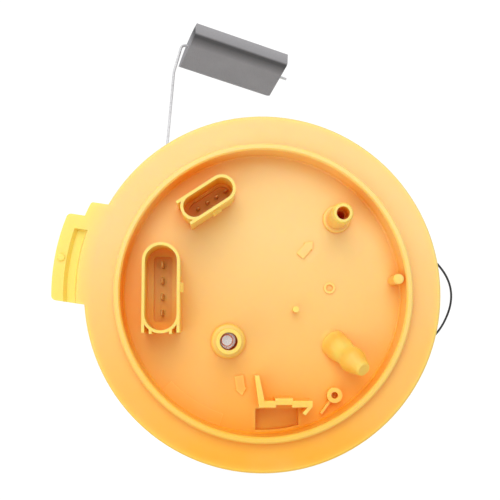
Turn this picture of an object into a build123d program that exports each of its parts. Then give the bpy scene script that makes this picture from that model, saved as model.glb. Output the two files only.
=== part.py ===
from build123d import *
from math import cos, sin, tan, radians, degrees, atan2
import os

# In-tank fuel pump module, standing upright, in millimetres.
# Origin: on the axis of the tank opening, in the plane of the cover's sealing face. +Z is up.

# ---------------------------------------------------------------- driving dimensions
# Cover moulding
DISC_R = 66.0
DISC_T = 4.0
WALL_IN_R = 52.5
WALL_OUT_R = 54.9
RIM_TOP = 8.3
PAN_TOP = -4.6
PAN_T = 2.4
PAN_UNDER = PAN_TOP - PAN_T
SKIRT_BOTTOM = -14.8
CARRIER_BOTTOM = -14.8
RIB_ANGLES = (0.0, 60.0, 140.0, 215.0, 250.0, 305.0, 342.0)
WELL_X = (-2.7, 13.5)
WELL_Y = (-52.0, -43.3)
WELL_FLOOR = -9.8

# Side tab, in a frame turned to point out of the disc
TAB_TURN = 171.5
TAB_R = 77.9
TAB_SPAN = (-18.05, 14.4)
STEP_R = 71.8
STEP_EDGE = -23.45
GROOVE_R = (68.7, 73.6)
GROOVE_END = -12.9
GROOVE_FLOOR = 1.0

# Connector shrouds: outer half length, outer half width
SHROUD_TOP = 13.6
SHROUD_WALL = 1.05
SOCKET_FLOOR = -1.6
POWER_AT = (-37.35, 1.15)
POWER_HALF = (16.35, 6.8)
POWER_TURN = 90.0
POWER_PITCH = 5.95
LEVEL_AT = (-20.5, 33.9)
LEVEL_HALF = (11.0, 5.05)
LEVEL_TURN = 33.3
LEVEL_PITCH = 4.07
LEVEL_PIN_SHIFT = 1.6

# Spigots
FEED_AT = (28.3, 28.1)
FEED_R = 3.945
FEED_TOP = 15.6
PORT_AT = (-12.9, -18.1)
PORT_R = 4.745
PORT_TOP = 13.6
FEED_COLLAR = -2.9
PORT_COLLAR = -2.2
PLUNGER_AT = (PORT_AT[0] - 0.55, PORT_AT[1] + 0.3)
VENT_FOOT = (27.4, -19.4, PAN_TOP)
VENT_TIP = (36.1, -28.35, 9.6)
HOSE_BARB_R = 4.4
STUB_END = -32.0

# Small features in the pan; arrows are a centre and a heading
TALL_PEG_AT = (49.5, 4.7)
SHORT_PEG_AT = (12.3, -6.3)
RING_AT = (25.45, 1.9)
DRAIN_AT = (26.7, -38.2)
BRACKET_TOP = 5.6
FEED_ARROW = ((16.7, 16.8), 49.0)
RETURN_ARROW = ((-8.3, -34.7), -80.5)

# Guide rods and the sprung travel of the reservoir
ROD_R = 4.0
ROD_AT = [(10.0, 37.0), (10.0, -37.0)]
ROD_TOP = -16.4
ROD_BOTTOM = -112.0
BOSS_BOTTOM = -26.0

# Reservoir
CUP_R = 47.0
CUP_WALL = 1.8
CUP_FLOOR = 2.2
CUP_TOP = -100.0
CUP_BOTTOM = -190.0
FLAT_X = -36.0
LID_T = 3.0
LID_TOP = CUP_TOP + LID_T
VALVE_AT = (-26.0, 14.0)
SNAP_ANGLES = (20.0, 120.0, 240.0, 320.0)

# Pump and ring filter share one axis
PUMP_AT = (8.0, 0.0)
PUMP_R = 19.0
PUMP_WALL = 1.2
PUMP_BOTTOM = -178.0
PUMP_TOP = -116.0
FILTER_R = (21.6, 29.8)

# Lid fittings
FEED_LID_AT = (16.0, 23.0)
RETURN_LID_AT = (-19.0, -4.0)
REGULATOR_AT = (-18.5, -25.0)
REGULATOR_R = 10.0

# Level sender
TRAY_X = (-43.0, FLAT_X)
PIVOT = (12.0, -100.0)
PIVOT_R = 2.0
ARM_WIRE_R = 0.75
ARM_HOOK = (-46.9, 4.0, -97.1)
ARM_KNEE = (-40.3, 122.7, -140.0)
ARM_TURN = (-36.2, 139.7, -145.6)
ARM_BENDS = [1.4, 12.0, 3.0]
FLOAT_AXIS = Vector(0.93, -0.224, -0.29).normalized()
FLOAT_FACE = Vector(0.031, -0.741, 0.670)
FLOAT_LENGTH = 53.3
FLOAT_START = 3.3
FLOAT_BORE = (-13.8, 1.7)

RUN = 0.04


# ---------------------------------------------------------------- helpers
def rod(r, z0, z1, at=(0.0, 0.0)):
    return Pos(at[0], at[1], (z0 + z1) / 2) * Cylinder(r, z1 - z0)


def tube(r_out, r_in, z0, z1, at=(0.0, 0.0)):
    return rod(r_out, z0, z1, at) - rod(r_in, z0 - 1, z1 + 1, at)


def block(x, y, z):
    size = (x[1] - x[0], y[1] - y[0], z[1] - z[0])
    return Pos((x[0] + x[1]) / 2, (y[0] + y[1]) / 2, (z[0] + z[1]) / 2) * Box(*size)


def turned(points, at=(0.0, 0.0)):
    """A profile of (radius, height) points, spun about a vertical axis."""
    face = make_face(Plane.XZ * Polyline(*points, close=True))
    return Pos(at[0], at[1], 0) * revolve(face, Axis.Z)


def arc_point(r, angle, z=0.0):
    return Vector(r * cos(radians(angle)), r * sin(radians(angle)), z)


def sector(r_in, r_out, a0, a1, z0, z1):
    """A curved block between two radii and two angles."""
    mid = (a0 + a1) / 2
    outer = ThreePointArc(arc_point(r_out, a0), arc_point(r_out, mid), arc_point(r_out, a1))
    inner = ThreePointArc(arc_point(r_in, a1), arc_point(r_in, mid), arc_point(r_in, a0))
    sides = Line(outer @ 1, inner @ 0) + Line(inner @ 1, outer @ 0)
    face = make_face(outer + inner + sides)
    return Pos(0, 0, z0) * extrude(face, z1 - z0)


def stadium(half_length, half_width, z0, z1):
    return Pos(0, 0, z0) * extrude(SlotOverall(2 * half_length, 2 * half_width), z1 - z0)


def bend_radii(points):
    """One bend radius per corner: 0.45 of the shorter run over the tangent of half the turn."""
    radii = []
    for before, here, after in zip(points, points[1:], points[2:]):
        run_in = Vector(here) - Vector(before)
        run_out = Vector(after) - Vector(here)
        turn = radians(run_in.get_angle(run_out))
        radii.append(0.45 * min(run_in.length, run_out.length) / tan(turn / 2))
    return radii


def route(points, radii=None):
    return FilletPolyline(*points, radius=radii or bend_radii(points))


def cord(points, r, radii=None):
    """A round lead along straight runs and tangent arcs."""
    line = route(points, radii)
    start = Plane(origin=line @ 0, z_dir=line % 0)
    return sweep(start * Circle(r), path=line)


def coil(r, wire_r, z0, z1, turns, at=(0.0, 0.0)):
    """A compression spring whose wire just reaches both seats."""
    height = z1 - z0 - 2 * wire_r
    line = Helix(pitch=height / turns, height=height, radius=r)
    start = Plane(origin=line @ 0, z_dir=line % 0)
    body = sweep(start * RegularPolygon(wire_r, 6), path=line, is_frenet=True)
    return Pos(at[0], at[1], z0 + wire_r) * body


def polar(count, start=0.0):
    return [start + 360.0 * i / count for i in range(count)]


# ---------------------------------------------------------------- cover moulding
def cover_body():
    """Sealing disc, locating wall with its skirt, and sunk pan, turned as one section."""
    section = [
        (0, PAN_UNDER),
        (WALL_IN_R - 0.8, PAN_UNDER),
        (WALL_IN_R, PAN_UNDER - 0.8),
        (WALL_IN_R, SKIRT_BOTTOM),
        (WALL_OUT_R - 1.2, SKIRT_BOTTOM),
        (WALL_OUT_R, SKIRT_BOTTOM + 1.2),
        (WALL_OUT_R, 0),
        (DISC_R - 0.5, 0),
        (DISC_R, 0.5),
        (DISC_R, DISC_T - 0.6),
        (DISC_R - 0.6, DISC_T),
        (WALL_OUT_R + 0.7, DISC_T),
        (WALL_OUT_R, DISC_T + 0.7),
        (WALL_OUT_R, RIM_TOP - 0.6),
        (WALL_OUT_R - 0.6, RIM_TOP),
        (WALL_IN_R + 0.6, RIM_TOP),
        (WALL_IN_R, RIM_TOP - 0.6),
        (WALL_IN_R, PAN_TOP + 0.6),
        (WALL_IN_R - 0.6, PAN_TOP),
        (0, PAN_TOP),
    ]
    return turned(section)


def side_tab():
    """Square-sided lug with a long groove open at one side, a locating bump and a step beside it."""
    lug = rod(TAB_R, 0, DISC_T) & block((60.0, TAB_R + 1), TAB_SPAN, (0, DISC_T))
    lug = fillet(lug.edges().filter_by(Axis.Z).sort_by(Axis.X)[-2:], 1.8)
    step = rod(STEP_R, 0, DISC_T) & block((58.0, STEP_R + 1), (STEP_EDGE, 0), (0, DISC_T))
    step = fillet(step.edges().filter_by(Axis.Z).sort_by(Axis.Y)[:2].sort_by(Axis.X)[-1], 1.2)
    near, far = GROOVE_R
    floor = [(near + 1.0, GROOVE_FLOOR), (far - 1.0, GROOVE_FLOOR)]
    groove = turned(floor + [(far, DISC_T), (far, DISC_T + 1), (near, DISC_T + 1), (near, DISC_T)])
    groove &= block((60.0, TAB_R), (GROOVE_END, TAB_SPAN[1] + 1), (GROOVE_FLOOR - 1, DISC_T + 2))
    bump = chamfer(rod(1.4, DISC_T - 0.5, DISC_T + 0.9, (75.5, -1.5)).edges().group_by(Axis.Z)[-1], 0.3)
    return Rot(0, 0, TAB_TURN) * (lug + step - groove + bump)


def shroud(half, at, turn, skirt, latch_z, nubs):
    """Keyed oval socket: round at one end, side walls running on past the other."""
    length, width = half
    body = stadium(length, width, PAN_TOP - 1.0, SHROUD_TOP)
    for side in (-1, 1):
        edges = sorted((side * width, side * (width - SHROUD_WALL)))
        body += block((-skirt, -length + width), edges, (PAN_TOP - 0.8, SHROUD_TOP))
    for side in (-1, 1):
        across = (side * 3.6 - 0.5, side * 3.6 + 0.5)
        if nubs:
            body += block((-length - 0.25, -length + 2.0), across, (PAN_TOP - 0.8, SHROUD_TOP))
    latch = block((-1.6, 1.8), (-width - 1.3, -width + 0.4), (latch_z - 3.4, latch_z))
    latch = chamfer(latch.edges().group_by(Axis.Y)[0].filter_by(Axis.X).sort_by(Axis.Z)[-1], 1.0)
    return Pos(at[0], at[1], 0) * Rot(0, 0, turn) * (body + latch)


def socket(half, at, turn, recess):
    """The hollow of a shroud, with a sunk step round the terminals given as an outline."""
    length, width = half
    hollow = stadium(length - SHROUD_WALL, width - SHROUD_WALL, SOCKET_FLOOR, SHROUD_TOP + 1)
    step = Pos(0, 0, SOCKET_FLOOR - 2.2) * extrude(recess, 3.2)
    return Pos(at[0], at[1], 0) * Rot(0, 0, turn) * (hollow + step)


def feed_spigot():
    """Quick-connect end: root collar, sealing tube and lead-in, with a barb below."""
    section = [
        (0, STUB_END),
        (3.5, STUB_END),
        (HOSE_BARB_R, STUB_END + 3),
        (3.8, STUB_END + 3),
        (HOSE_BARB_R, STUB_END + 6),
        (3.8, STUB_END + 6),
        (3.8, PAN_UNDER - 3),
        (6.4, PAN_UNDER),
        (6.4, PAN_TOP - 0.5),
        (5.27, PAN_TOP),
        (5.27, FEED_COLLAR - 0.3),
        (5.0, FEED_COLLAR),
        (FEED_R, FEED_COLLAR),
        (FEED_R, FEED_TOP - 1.4),
        (FEED_R - 0.7, FEED_TOP),
        (0, FEED_TOP),
    ]
    return turned(section, FEED_AT)


def port_spigot():
    """The wider spigot, which holds a sprung plunger in its bore."""
    section = [
        (0, STUB_END),
        (3.5, STUB_END),
        (HOSE_BARB_R, STUB_END + 3),
        (3.8, STUB_END + 3),
        (HOSE_BARB_R, STUB_END + 6),
        (3.8, STUB_END + 6),
        (3.8, -24.0),
        (6.0, -22.0),
        (6.0, PAN_UNDER - 1),
        (7.6, PAN_UNDER),
        (7.6, PAN_TOP - 0.5),
        (6.65, PAN_TOP),
        (6.5, PORT_COLLAR - 0.6),
        (5.9, PORT_COLLAR),
        (PORT_R, PORT_COLLAR + 0.3),
        (PORT_R, PORT_TOP - 0.4),
        (PORT_R - 0.3, PORT_TOP),
        (0, PORT_TOP),
    ]
    return turned(section, PORT_AT)


def port_bore():
    """Hose passage, spring chamber, seat and the open mouth the plunger stands in."""
    mouth = turned([(0, -1.0), (2.95, -1.0), (3.2, 0.0), (3.2, PORT_TOP + 1), (0, PORT_TOP + 1)], PORT_AT)
    chamber = [(0, -20.0), (4.5, -20.0), (4.5, -3.0), (3.9, -2.2), (2.95, -2.2), (2.95, -0.9), (0, -0.9)]
    return mouth + turned(chamber, PORT_AT) + rod(2.2, STUB_END - 1, -19.5, PORT_AT)


def vent_plane():
    foot, tip = Vector(VENT_FOOT), Vector(VENT_TIP)
    return Plane(origin=foot, z_dir=tip - foot), (tip - foot).length


def vent_spigot():
    """Slanted spigot with a soft waist and bead, moulded shut at its tip."""
    plane, length = vent_plane()
    side = Spline((5.2, 1.4), (4.85, 4.6), (4.25, 7.9), (4.95, 11.7), (4.15, 14.8), (2.85, length - 0.5))
    ends = Polyline(side @ 1, (2.4, length), (0, length), (0, -1.0), (5.2, -1.0), side @ 0)
    return plane * revolve(make_face(Plane.XZ * (side + ends)), Axis.Z)


def vent_bore():
    plane, length = vent_plane()
    return plane * (rod(3.0, -8.0, 12.6) + rod(1.5, 12.0, length - 1.5))


def feed_bore():
    """Outlet passage, narrowed below its mouth."""
    return rod(2.4, 6.5, FEED_TOP + 1, FEED_AT) + rod(1.7, STUB_END - 1, 7.0, FEED_AT)


def pegs():
    """Tall peg by the wall, short peg, ring boss and drain tube with its rib."""
    low = PAN_TOP - 0.5
    tall = rod(1.87, low, 8.2, TALL_PEG_AT) + rod(1.4, 8.0, 8.7, TALL_PEG_AT)
    short = rod(1.15, low, PAN_TOP + 5.0, SHORT_PEG_AT)
    ring = tube(2.15, 1.3, low, PAN_TOP + 0.8, RING_AT)
    drain = rod(2.85, low, PAN_TOP + 4.0, DRAIN_AT) - rod(1.25, PAN_TOP + 0.2, 0, DRAIN_AT)
    rib = Pos(DRAIN_AT[0] - 3.1, DRAIN_AT[1] - 4.2, PAN_TOP + 1.2) * Rot(0, 0, 53.0) * Box(6.4, 0.9, 2.9)
    return tall + short + ring + drain + rib


def bracket_wall():
    """Standing clip wall: a slanted arm, a stepped run and a short hooked return."""
    top = BRACKET_TOP
    low = PAN_TOP - 0.5
    arm = Polyline((-3.3, -30.6), (-1.7, -30.6), (0.3, -40.0), (-1.7, -42.2), close=True)
    wall = Pos(0, 0, low) * extrude(make_face(arm), top - low)
    for x0, x1, shift in ((-1.7, 4.4, 0.0), (4.2, 10.6, 0.9), (10.4, 17.8, 0.0)):
        wall += block((x0, x1), (-42.1 + shift, -39.8 + shift), (low, top))
    hook = Polyline((16.2, -41.9), (17.8, -41.9), (15.2, -45.0), (14.1, -44.2), close=True)
    return wall + Pos(0, 0, low) * extrude(make_face(hook), top - low)


def flow_arrow(at, turn):
    """Raised house-shaped flow arrow, pointing along local +X."""
    tail, neck, tip = -3.7, 1.1, 3.7
    outline = Polyline((tail, -1.65), (neck, -1.65), (neck, -2.1), (tip, 0), (neck, 2.1), (neck, 1.65),
                       (tail, 1.65), close=True)
    return Pos(at[0], at[1], PAN_TOP - 0.2) * Rot(0, 0, turn) * extrude(make_face(outline), 1.1)


def well(grow, z0, z1):
    """The square well beside the bracket, drawn out by an even wall and kept inside the locating wall."""
    body = block((WELL_X[0] - grow, WELL_X[1] + grow), (WELL_Y[0] - grow, WELL_Y[1] + grow), (z0, z1))
    return body & rod(51.2 + grow, z0, z1)


def carrier(half, at, turn, shift):
    """Block below a socket that carries the terminals down to the plug."""
    length, width = half
    body = block((shift - length, shift + length), (-width, width), (CARRIER_BOTTOM, PAN_UNDER + 0.5))
    return Pos(at[0], at[1], 0) * Rot(0, 0, turn) * fillet(body.edges().filter_by(Axis.Z), 1.5)


def underside():
    """Rod bosses, socket carriers, well walls and stiffening ribs below the pan."""
    under = well(1.5, WELL_FLOOR - 1.6, PAN_UNDER + 0.5)
    under += carrier((13.6, 5.8), POWER_AT, POWER_TURN, 0.0)
    under += carrier((10.1, 5.1), LEVEL_AT, LEVEL_TURN, LEVEL_PIN_SHIFT)
    for x, y in ROD_AT:
        under += rod(7.4, BOSS_BOTTOM, PAN_UNDER + 0.5, (x, y))
        for turn in (45, 135):
            under += Pos(x, y, PAN_UNDER - 3.0) * Rot(0, 0, turn) * Box(19.0, 1.6, 6.5)
    for angle in RIB_ANGLES:
        rib = block((30.0, WALL_IN_R + 0.5), (-0.8, 0.8), (PAN_UNDER - 3.2, PAN_UNDER + 0.5))
        under += Rot(0, 0, angle) * rib
    return under


def flange_cover():
    body = cover_body() + side_tab() + underside()
    body += shroud(POWER_HALF, POWER_AT, POWER_TURN, 16.1, SHROUD_TOP - 1.0, True)
    body += shroud(LEVEL_HALF, LEVEL_AT, LEVEL_TURN, 10.6, SHROUD_TOP - 4.5, False)
    for pin in power_terminals().solids() + level_terminals().solids():
        body -= pin
    body += feed_spigot() + port_spigot() + vent_spigot() + pegs() + bracket_wall()
    body += flow_arrow(*FEED_ARROW) + flow_arrow(*RETURN_ARROW)
    body += sector(47.5, WALL_IN_R, 224.0, 252.0, PAN_TOP - 0.3, PAN_TOP + 0.35)
    body -= socket(POWER_HALF, POWER_AT, POWER_TURN, RectangleRounded(24.4, 6.8, 1.2))
    body -= socket(LEVEL_HALF, LEVEL_AT, LEVEL_TURN, Pos(0.4, 0, 0) * SlotOverall(17.0, 5.8))
    body -= feed_bore() + port_bore() + vent_bore()
    body -= well(0.0, WELL_FLOOR, PAN_TOP + 1)
    for at in ROD_AT:
        body -= rod(ROD_R, BOSS_BOTTOM - 1, ROD_TOP, at)
    return body


# ---------------------------------------------------------------- electrical pieces in the cover
def terminal_row(count, pitch, shift, blade, bottom, top):
    row = []
    for i in range(count):
        x = (i - (count - 1) / 2) * pitch + shift
        row.append(block((x - blade[0] / 2, x + blade[0] / 2), (-blade[1] / 2, blade[1] / 2), (bottom, top)))
    return row


def power_terminals():
    row = terminal_row(4, POWER_PITCH, 0.0, (2.2, 0.8), CARRIER_BOTTOM - 6.0, 6.0)
    row = [chamfer(pin.edges().group_by(Axis.Z)[-1], 0.3) for pin in row]
    return Pos(*POWER_AT, 0) * Rot(0, 0, POWER_TURN) * Compound(children=row)


def level_terminals():
    row = terminal_row(4, LEVEL_PITCH, LEVEL_PIN_SHIFT, (1.2, 0.7), CARRIER_BOTTOM - 5.0, 2.6)
    row = [chamfer(pin.edges().group_by(Axis.Z)[-1], 0.25) for pin in row]
    return Pos(*LEVEL_AT, 0) * Rot(0, 0, LEVEL_TURN) * Compound(children=row)


def plug(half, at, turn, height, shift=0.0):
    """Female plug pushed on the terminals below the pan."""
    top = CARRIER_BOTTOM
    body = block((-half[0], half[0]), (-half[1], half[1]), (top - height, top))
    body = fillet(body.edges().filter_by(Axis.Z), 1.2)
    for side in (-1, 1):
        body += block((-3.0, 3.0), sorted((side * half[1], side * (half[1] + 0.9))), (top - height + 2, top - 2))
    return Pos(at[0], at[1], 0) * Rot(0, 0, turn) * Pos(shift, 0, 0) * body


def power_plug():
    return plug((12.4, 4.6), POWER_AT, POWER_TURN, 14.0) - power_terminals()


def level_plug():
    return plug((8.9, 3.9), LEVEL_AT, LEVEL_TURN, 12.0, LEVEL_PIN_SHIFT) - level_terminals()


# ---------------------------------------------------------------- spigot plunger
def port_plunger():
    """Bright valve plunger: long flat-topped nose above a sealing flange."""
    section = [(0, -5.0), (3.7, -5.0), (3.7, -3.0), (3.2, -2.4), (2.2, -2.4), (2.2, 5.4), (1.9, 5.7), (0, 5.7)]
    return turned(section, PLUNGER_AT)


def port_spring():
    return coil(2.2, 0.3, -19.95, -5.05, 6, PLUNGER_AT)


# ---------------------------------------------------------------- rods and springs
def guide_rod(at):
    body = rod(ROD_R, ROD_BOTTOM, ROD_TOP, at)
    body = chamfer(body.edges().group_by(Axis.Z)[0], 0.6)
    return body - tube(ROD_R + 1, ROD_R - 0.6, -101.2, -100.05, at)


def rod_clips():
    """Open retaining rings that stop the lid at the end of its travel."""
    clips = []
    for x, y in ROD_AT:
        ring = tube(6.4, ROD_R - 0.6, -101.2, -100.05, (x, y))
        clips.append(ring - block((x + 1.0, x + 8.0), (y - 1.6, y + 1.6), (-102, -99)))
    return Compound(children=clips)


def rod_spring(at):
    return coil(6.4, 0.7, LID_TOP, BOSS_BOTTOM, 8, at)


# ---------------------------------------------------------------- reservoir
def cup_plan(inset, z0, z1):
    """Round plan with one flat side, drawn in by an even inset."""
    body = rod(CUP_R - inset, z0, z1)
    return body & block((FLAT_X + inset, CUP_R + 1), (-CUP_R - 1, CUP_R + 1), (z0, z1))


def reservoir_cup():
    body = cup_plan(0, CUP_BOTTOM, CUP_TOP) - cup_plan(CUP_WALL, CUP_BOTTOM + CUP_FLOOR, CUP_TOP + 1)
    floor = CUP_BOTTOM + CUP_FLOOR
    foot = block((-60, 60), (-60, 60), (CUP_BOTTOM - 1, CUP_BOTTOM + 0.8))
    body -= foot & (rod(38.0, CUP_BOTTOM - 1, CUP_BOTTOM + 0.8) - rod(30.0, CUP_BOTTOM - 2, CUP_BOTTOM + 2))
    for angle in polar(3, 60.0):
        body += Pos(*PUMP_AT, floor + 3.8) * Rot(0, 0, angle) * Pos(24.5, 0, 0) * Box(13.0, 1.8, 8.0)
    body -= rod(2.0, CUP_BOTTOM - 1, floor + 1, VALVE_AT)
    for angle in polar(4):
        spot = Vector(*VALVE_AT, 0) + arc_point(4.3, angle)
        body -= rod(1.3, CUP_BOTTOM - 1, floor + 1, (spot.X, spot.Y))
    for angle in SNAP_ANGLES:
        foot = [(CUP_R - 0.5, -112.4), (CUP_R, -112.4)]
        wedge = Polyline(*foot, (CUP_R + 1.3, -109.4), (CUP_R - 0.5, -109.4), close=True)
        tooth = extrude(make_face(Plane.XZ * wedge), 2.4, both=True)
        body += Rot(0, 0, angle) * tooth
    return body


def reservoir_lid():
    """Snap-on lid: plate, locating lip, rod sleeves, hose stubs and regulator seat."""
    body = cup_plan(0, CUP_TOP, LID_TOP)
    lip = cup_plan(CUP_WALL + 0.1, CUP_TOP - 5.0, CUP_TOP + 0.5)
    body += lip - cup_plan(CUP_WALL + 1.7, CUP_TOP - 6.0, CUP_TOP)
    for angle in SNAP_ANGLES:
        strap = block((CUP_R + 0.1, CUP_R + 1.7), (-4.6, 4.6), (-114.0, LID_TOP))
        strap += block((CUP_R - 2.0, CUP_R + 1.7), (-4.6, 4.6), (CUP_TOP, LID_TOP))
        strap -= block((CUP_R - 0.4, CUP_R + 3.0), (-2.6, 2.6), (-112.6, -109.2))
        body += Rot(0, 0, angle) * strap
    for at in ROD_AT:
        body += rod(5.3, CUP_TOP, LID_TOP + 5.0, at)
        body += rod(9.0, CUP_TOP, LID_TOP, at)
    body += turned(lid_stub(3.8), FEED_LID_AT) + turned(lid_stub(3.8), RETURN_LID_AT)
    body += rod(REGULATOR_R + 1.9, LID_TOP - 1, LID_TOP + 8.0, REGULATOR_AT)
    body -= rod(REGULATOR_R + 0.05, LID_TOP, LID_TOP + 9.0, REGULATOR_AT)
    body -= rod(3.0, CUP_TOP - 1, LID_TOP + 1, REGULATOR_AT)
    for at in (FEED_LID_AT, RETURN_LID_AT):
        body -= rod(2.2, CUP_TOP - 6, LID_TOP + 20, at)
    for at in ROD_AT:
        body -= rod(ROD_R + RUN, CUP_TOP - 6, LID_TOP + 20, at)
        body -= rod(7.0, CUP_TOP - 6, CUP_TOP - 0.001, at)
    body -= rod(12.6, CUP_TOP - 6, LID_TOP + 1, PUMP_AT)
    return body


def lid_stub(r):
    return [
        (0, CUP_TOP),
        (r + 1.6, CUP_TOP),
        (r + 1.6, LID_TOP + 1.0),
        (r, LID_TOP + 2.0),
        (r, LID_TOP + 9.0),
        (HOSE_BARB_R, LID_TOP + 9.0),
        (r, LID_TOP + 11.5),
        (HOSE_BARB_R, LID_TOP + 11.5),
        (3.3, LID_TOP + 14.5),
        (0, LID_TOP + 14.5),
    ]


def foot_valve():
    """Rubber disc with a guide stem over the inlet holes in the cup floor."""
    floor = CUP_BOTTOM + CUP_FLOOR
    section = [(0, CUP_BOTTOM + 0.9), (1.9, CUP_BOTTOM + 0.9), (1.9, floor), (6.6, floor), (6.4, floor + 1.0)]
    section += [(2.0, floor + 1.8), (0, floor + 1.8)]
    return turned(section, VALVE_AT)


def inlet_strainer():
    """Flat cloth sock under the pump inlet."""
    floor = CUP_BOTTOM + CUP_FLOOR
    sock = rod(15.0, floor, floor + 3.2, PUMP_AT)
    return chamfer(sock.edges().group_by(Axis.Z)[-1], 1.0)


def jet_pump():
    """Nozzle and mixing tube that keep the cup filled."""
    floor = CUP_BOTTOM + CUP_FLOOR
    at = (-27.0, -6.0)
    stand = turned([(0, floor), (6.0, floor), (6.0, floor + 3), (3.6, floor + 5), (3.6, floor + 34), (2.6, floor + 36),
                    (2.6, floor + 44), (0, floor + 44)], at)
    ahead = (Align.CENTER, Align.CENTER, Align.MIN)
    mixer = Pos(at[0], at[1] - 2, floor + 8) * Rot(90, 0, 0) * Cylinder(4.4, 16, align=ahead)
    bore = Pos(at[0], at[1] - 4, floor + 8) * Rot(90, 0, 0) * Cylinder(2.8, 16, align=ahead)
    return stand + mixer - bore - rod(1.4, floor + 8, floor + 50, at)


# ---------------------------------------------------------------- pump
def pump_casing():
    """Rolled steel can, turned in at both ends."""
    r = PUMP_R
    w = PUMP_WALL
    section = [
        (r - 2.6, PUMP_BOTTOM),
        (r - 0.8, PUMP_BOTTOM),
        (r, PUMP_BOTTOM + 0.8),
        (r, PUMP_TOP - 0.8),
        (r - 0.8, PUMP_TOP),
        (r - 2.6, PUMP_TOP),
        (r - 2.6, PUMP_TOP - w),
        (r - w, PUMP_TOP - w),
        (r - w, PUMP_BOTTOM + w),
        (r - 2.6, PUMP_BOTTOM + w),
    ]
    return turned(section, PUMP_AT)


def pump_inlet_plate():
    """Inlet end with its flow channel and suction snout."""
    z = PUMP_BOTTOM + PUMP_WALL
    r = PUMP_R - PUMP_WALL
    body = rod(r, z, z + 4.8, PUMP_AT) + rod(r - 1.5, PUMP_BOTTOM - 1.0, z, PUMP_AT)
    body += rod(5.0, CUP_BOTTOM + CUP_FLOOR + 3.2, z, (PUMP_AT[0] + 8.6, PUMP_AT[1]))
    body -= rod(3.4, CUP_BOTTOM, z + 6, (PUMP_AT[0] + 8.6, PUMP_AT[1]))
    body -= tube(14.6, 11.4, z + 3.2, z + 5.5, PUMP_AT)
    return body - rod(1.7, z + 2.0, z + 6, PUMP_AT)


def impeller():
    """Side-channel wheel with open vanes round its rim."""
    z = PUMP_BOTTOM + PUMP_WALL + 4.9
    wheel = rod(15.6, z, z + 3.4, PUMP_AT) - rod(1.62, z - 1, z + 5, PUMP_AT)
    for angle in polar(18):
        wheel -= Pos(*PUMP_AT, z + 1.7) * Rot(0, 0, angle) * Pos(13.4, 0, 0) * Box(3.0, 2.2, 5.0)
    return wheel


def pump_plate():
    z = PUMP_BOTTOM + PUMP_WALL + 4.8
    r = PUMP_R - PUMP_WALL
    body = rod(r, z, z + 9.0, PUMP_AT) - rod(15.8, z - 1, z + 3.6, PUMP_AT)
    body -= tube(14.6, 11.4, z + 2.6, z + 4.8, PUMP_AT)
    body -= rod(1.64, z, z + 12, PUMP_AT)
    return body - rod(2.0, z, z + 12, (PUMP_AT[0], PUMP_AT[1] + 13))


def rotor_shaft():
    z = PUMP_BOTTOM + PUMP_WALL
    return rod(1.6, z + 2.2, PUMP_TOP - 1.0, PUMP_AT)


def armature_core():
    """Laminated stack with eight straight slots."""
    z0, z1 = PUMP_BOTTOM + 21.0, PUMP_BOTTOM + 45.0
    core = rod(13.8, z0, z1, PUMP_AT) - rod(1.6, z0 - 1, z1 + 1, PUMP_AT)
    for angle in polar(8):
        slot = Pos(12.2, 0, 0) * Box(4.0, 1.6, 40.0) + Pos(9.4, 0, 0) * Box(3.6, 4.0, 40.0)
        core -= Pos(*PUMP_AT, (z0 + z1) / 2) * Rot(0, 0, angle) * slot
    return core


def armature_windings():
    """Copper end turns that overhang the stack at both ends."""
    z0, z1 = PUMP_BOTTOM + 21.0, PUMP_BOTTOM + 45.0
    ends = []
    for base, way in ((z0, -1), (z1, 1)):
        low, high = sorted((base, base + way * 4.2))
        ring = tube(12.4, 4.2, low, high, PUMP_AT)
        outer = ring.edges().group_by(Axis.Z)[0 if way < 0 else -1]
        ends.append(chamfer(outer, 1.2))
    return Compound(children=ends)


def commutator():
    z = PUMP_BOTTOM + 49.6
    disc = rod(9.0, z, z + 2.6, PUMP_AT) + rod(3.4, z - 4.4, z, PUMP_AT)
    disc -= rod(1.6, z - 6, z + 4, PUMP_AT)
    for angle in polar(8):
        disc -= Pos(*PUMP_AT, z + 2.6) * Rot(0, 0, angle) * Pos(6.5, 0, 0) * Box(6.0, 0.5, 1.6)
    return disc


def pump_magnets():
    arcs = []
    for turn in (0, 180):
        shell = sector(14.6, PUMP_R - PUMP_WALL, turn - 72, turn + 72, PUMP_BOTTOM + 18, PUMP_BOTTOM + 46)
        arcs.append(Pos(*PUMP_AT, 0) * shell)
    return Compound(children=arcs)


def brushes():
    z = PUMP_BOTTOM + 52.25
    blocks = [Pos(PUMP_AT[0], PUMP_AT[1] + side * 6.4, z + 3.5) * Box(3.4, 4.2, 7.0) for side in (-1, 1)]
    return Compound(children=blocks)


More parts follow.
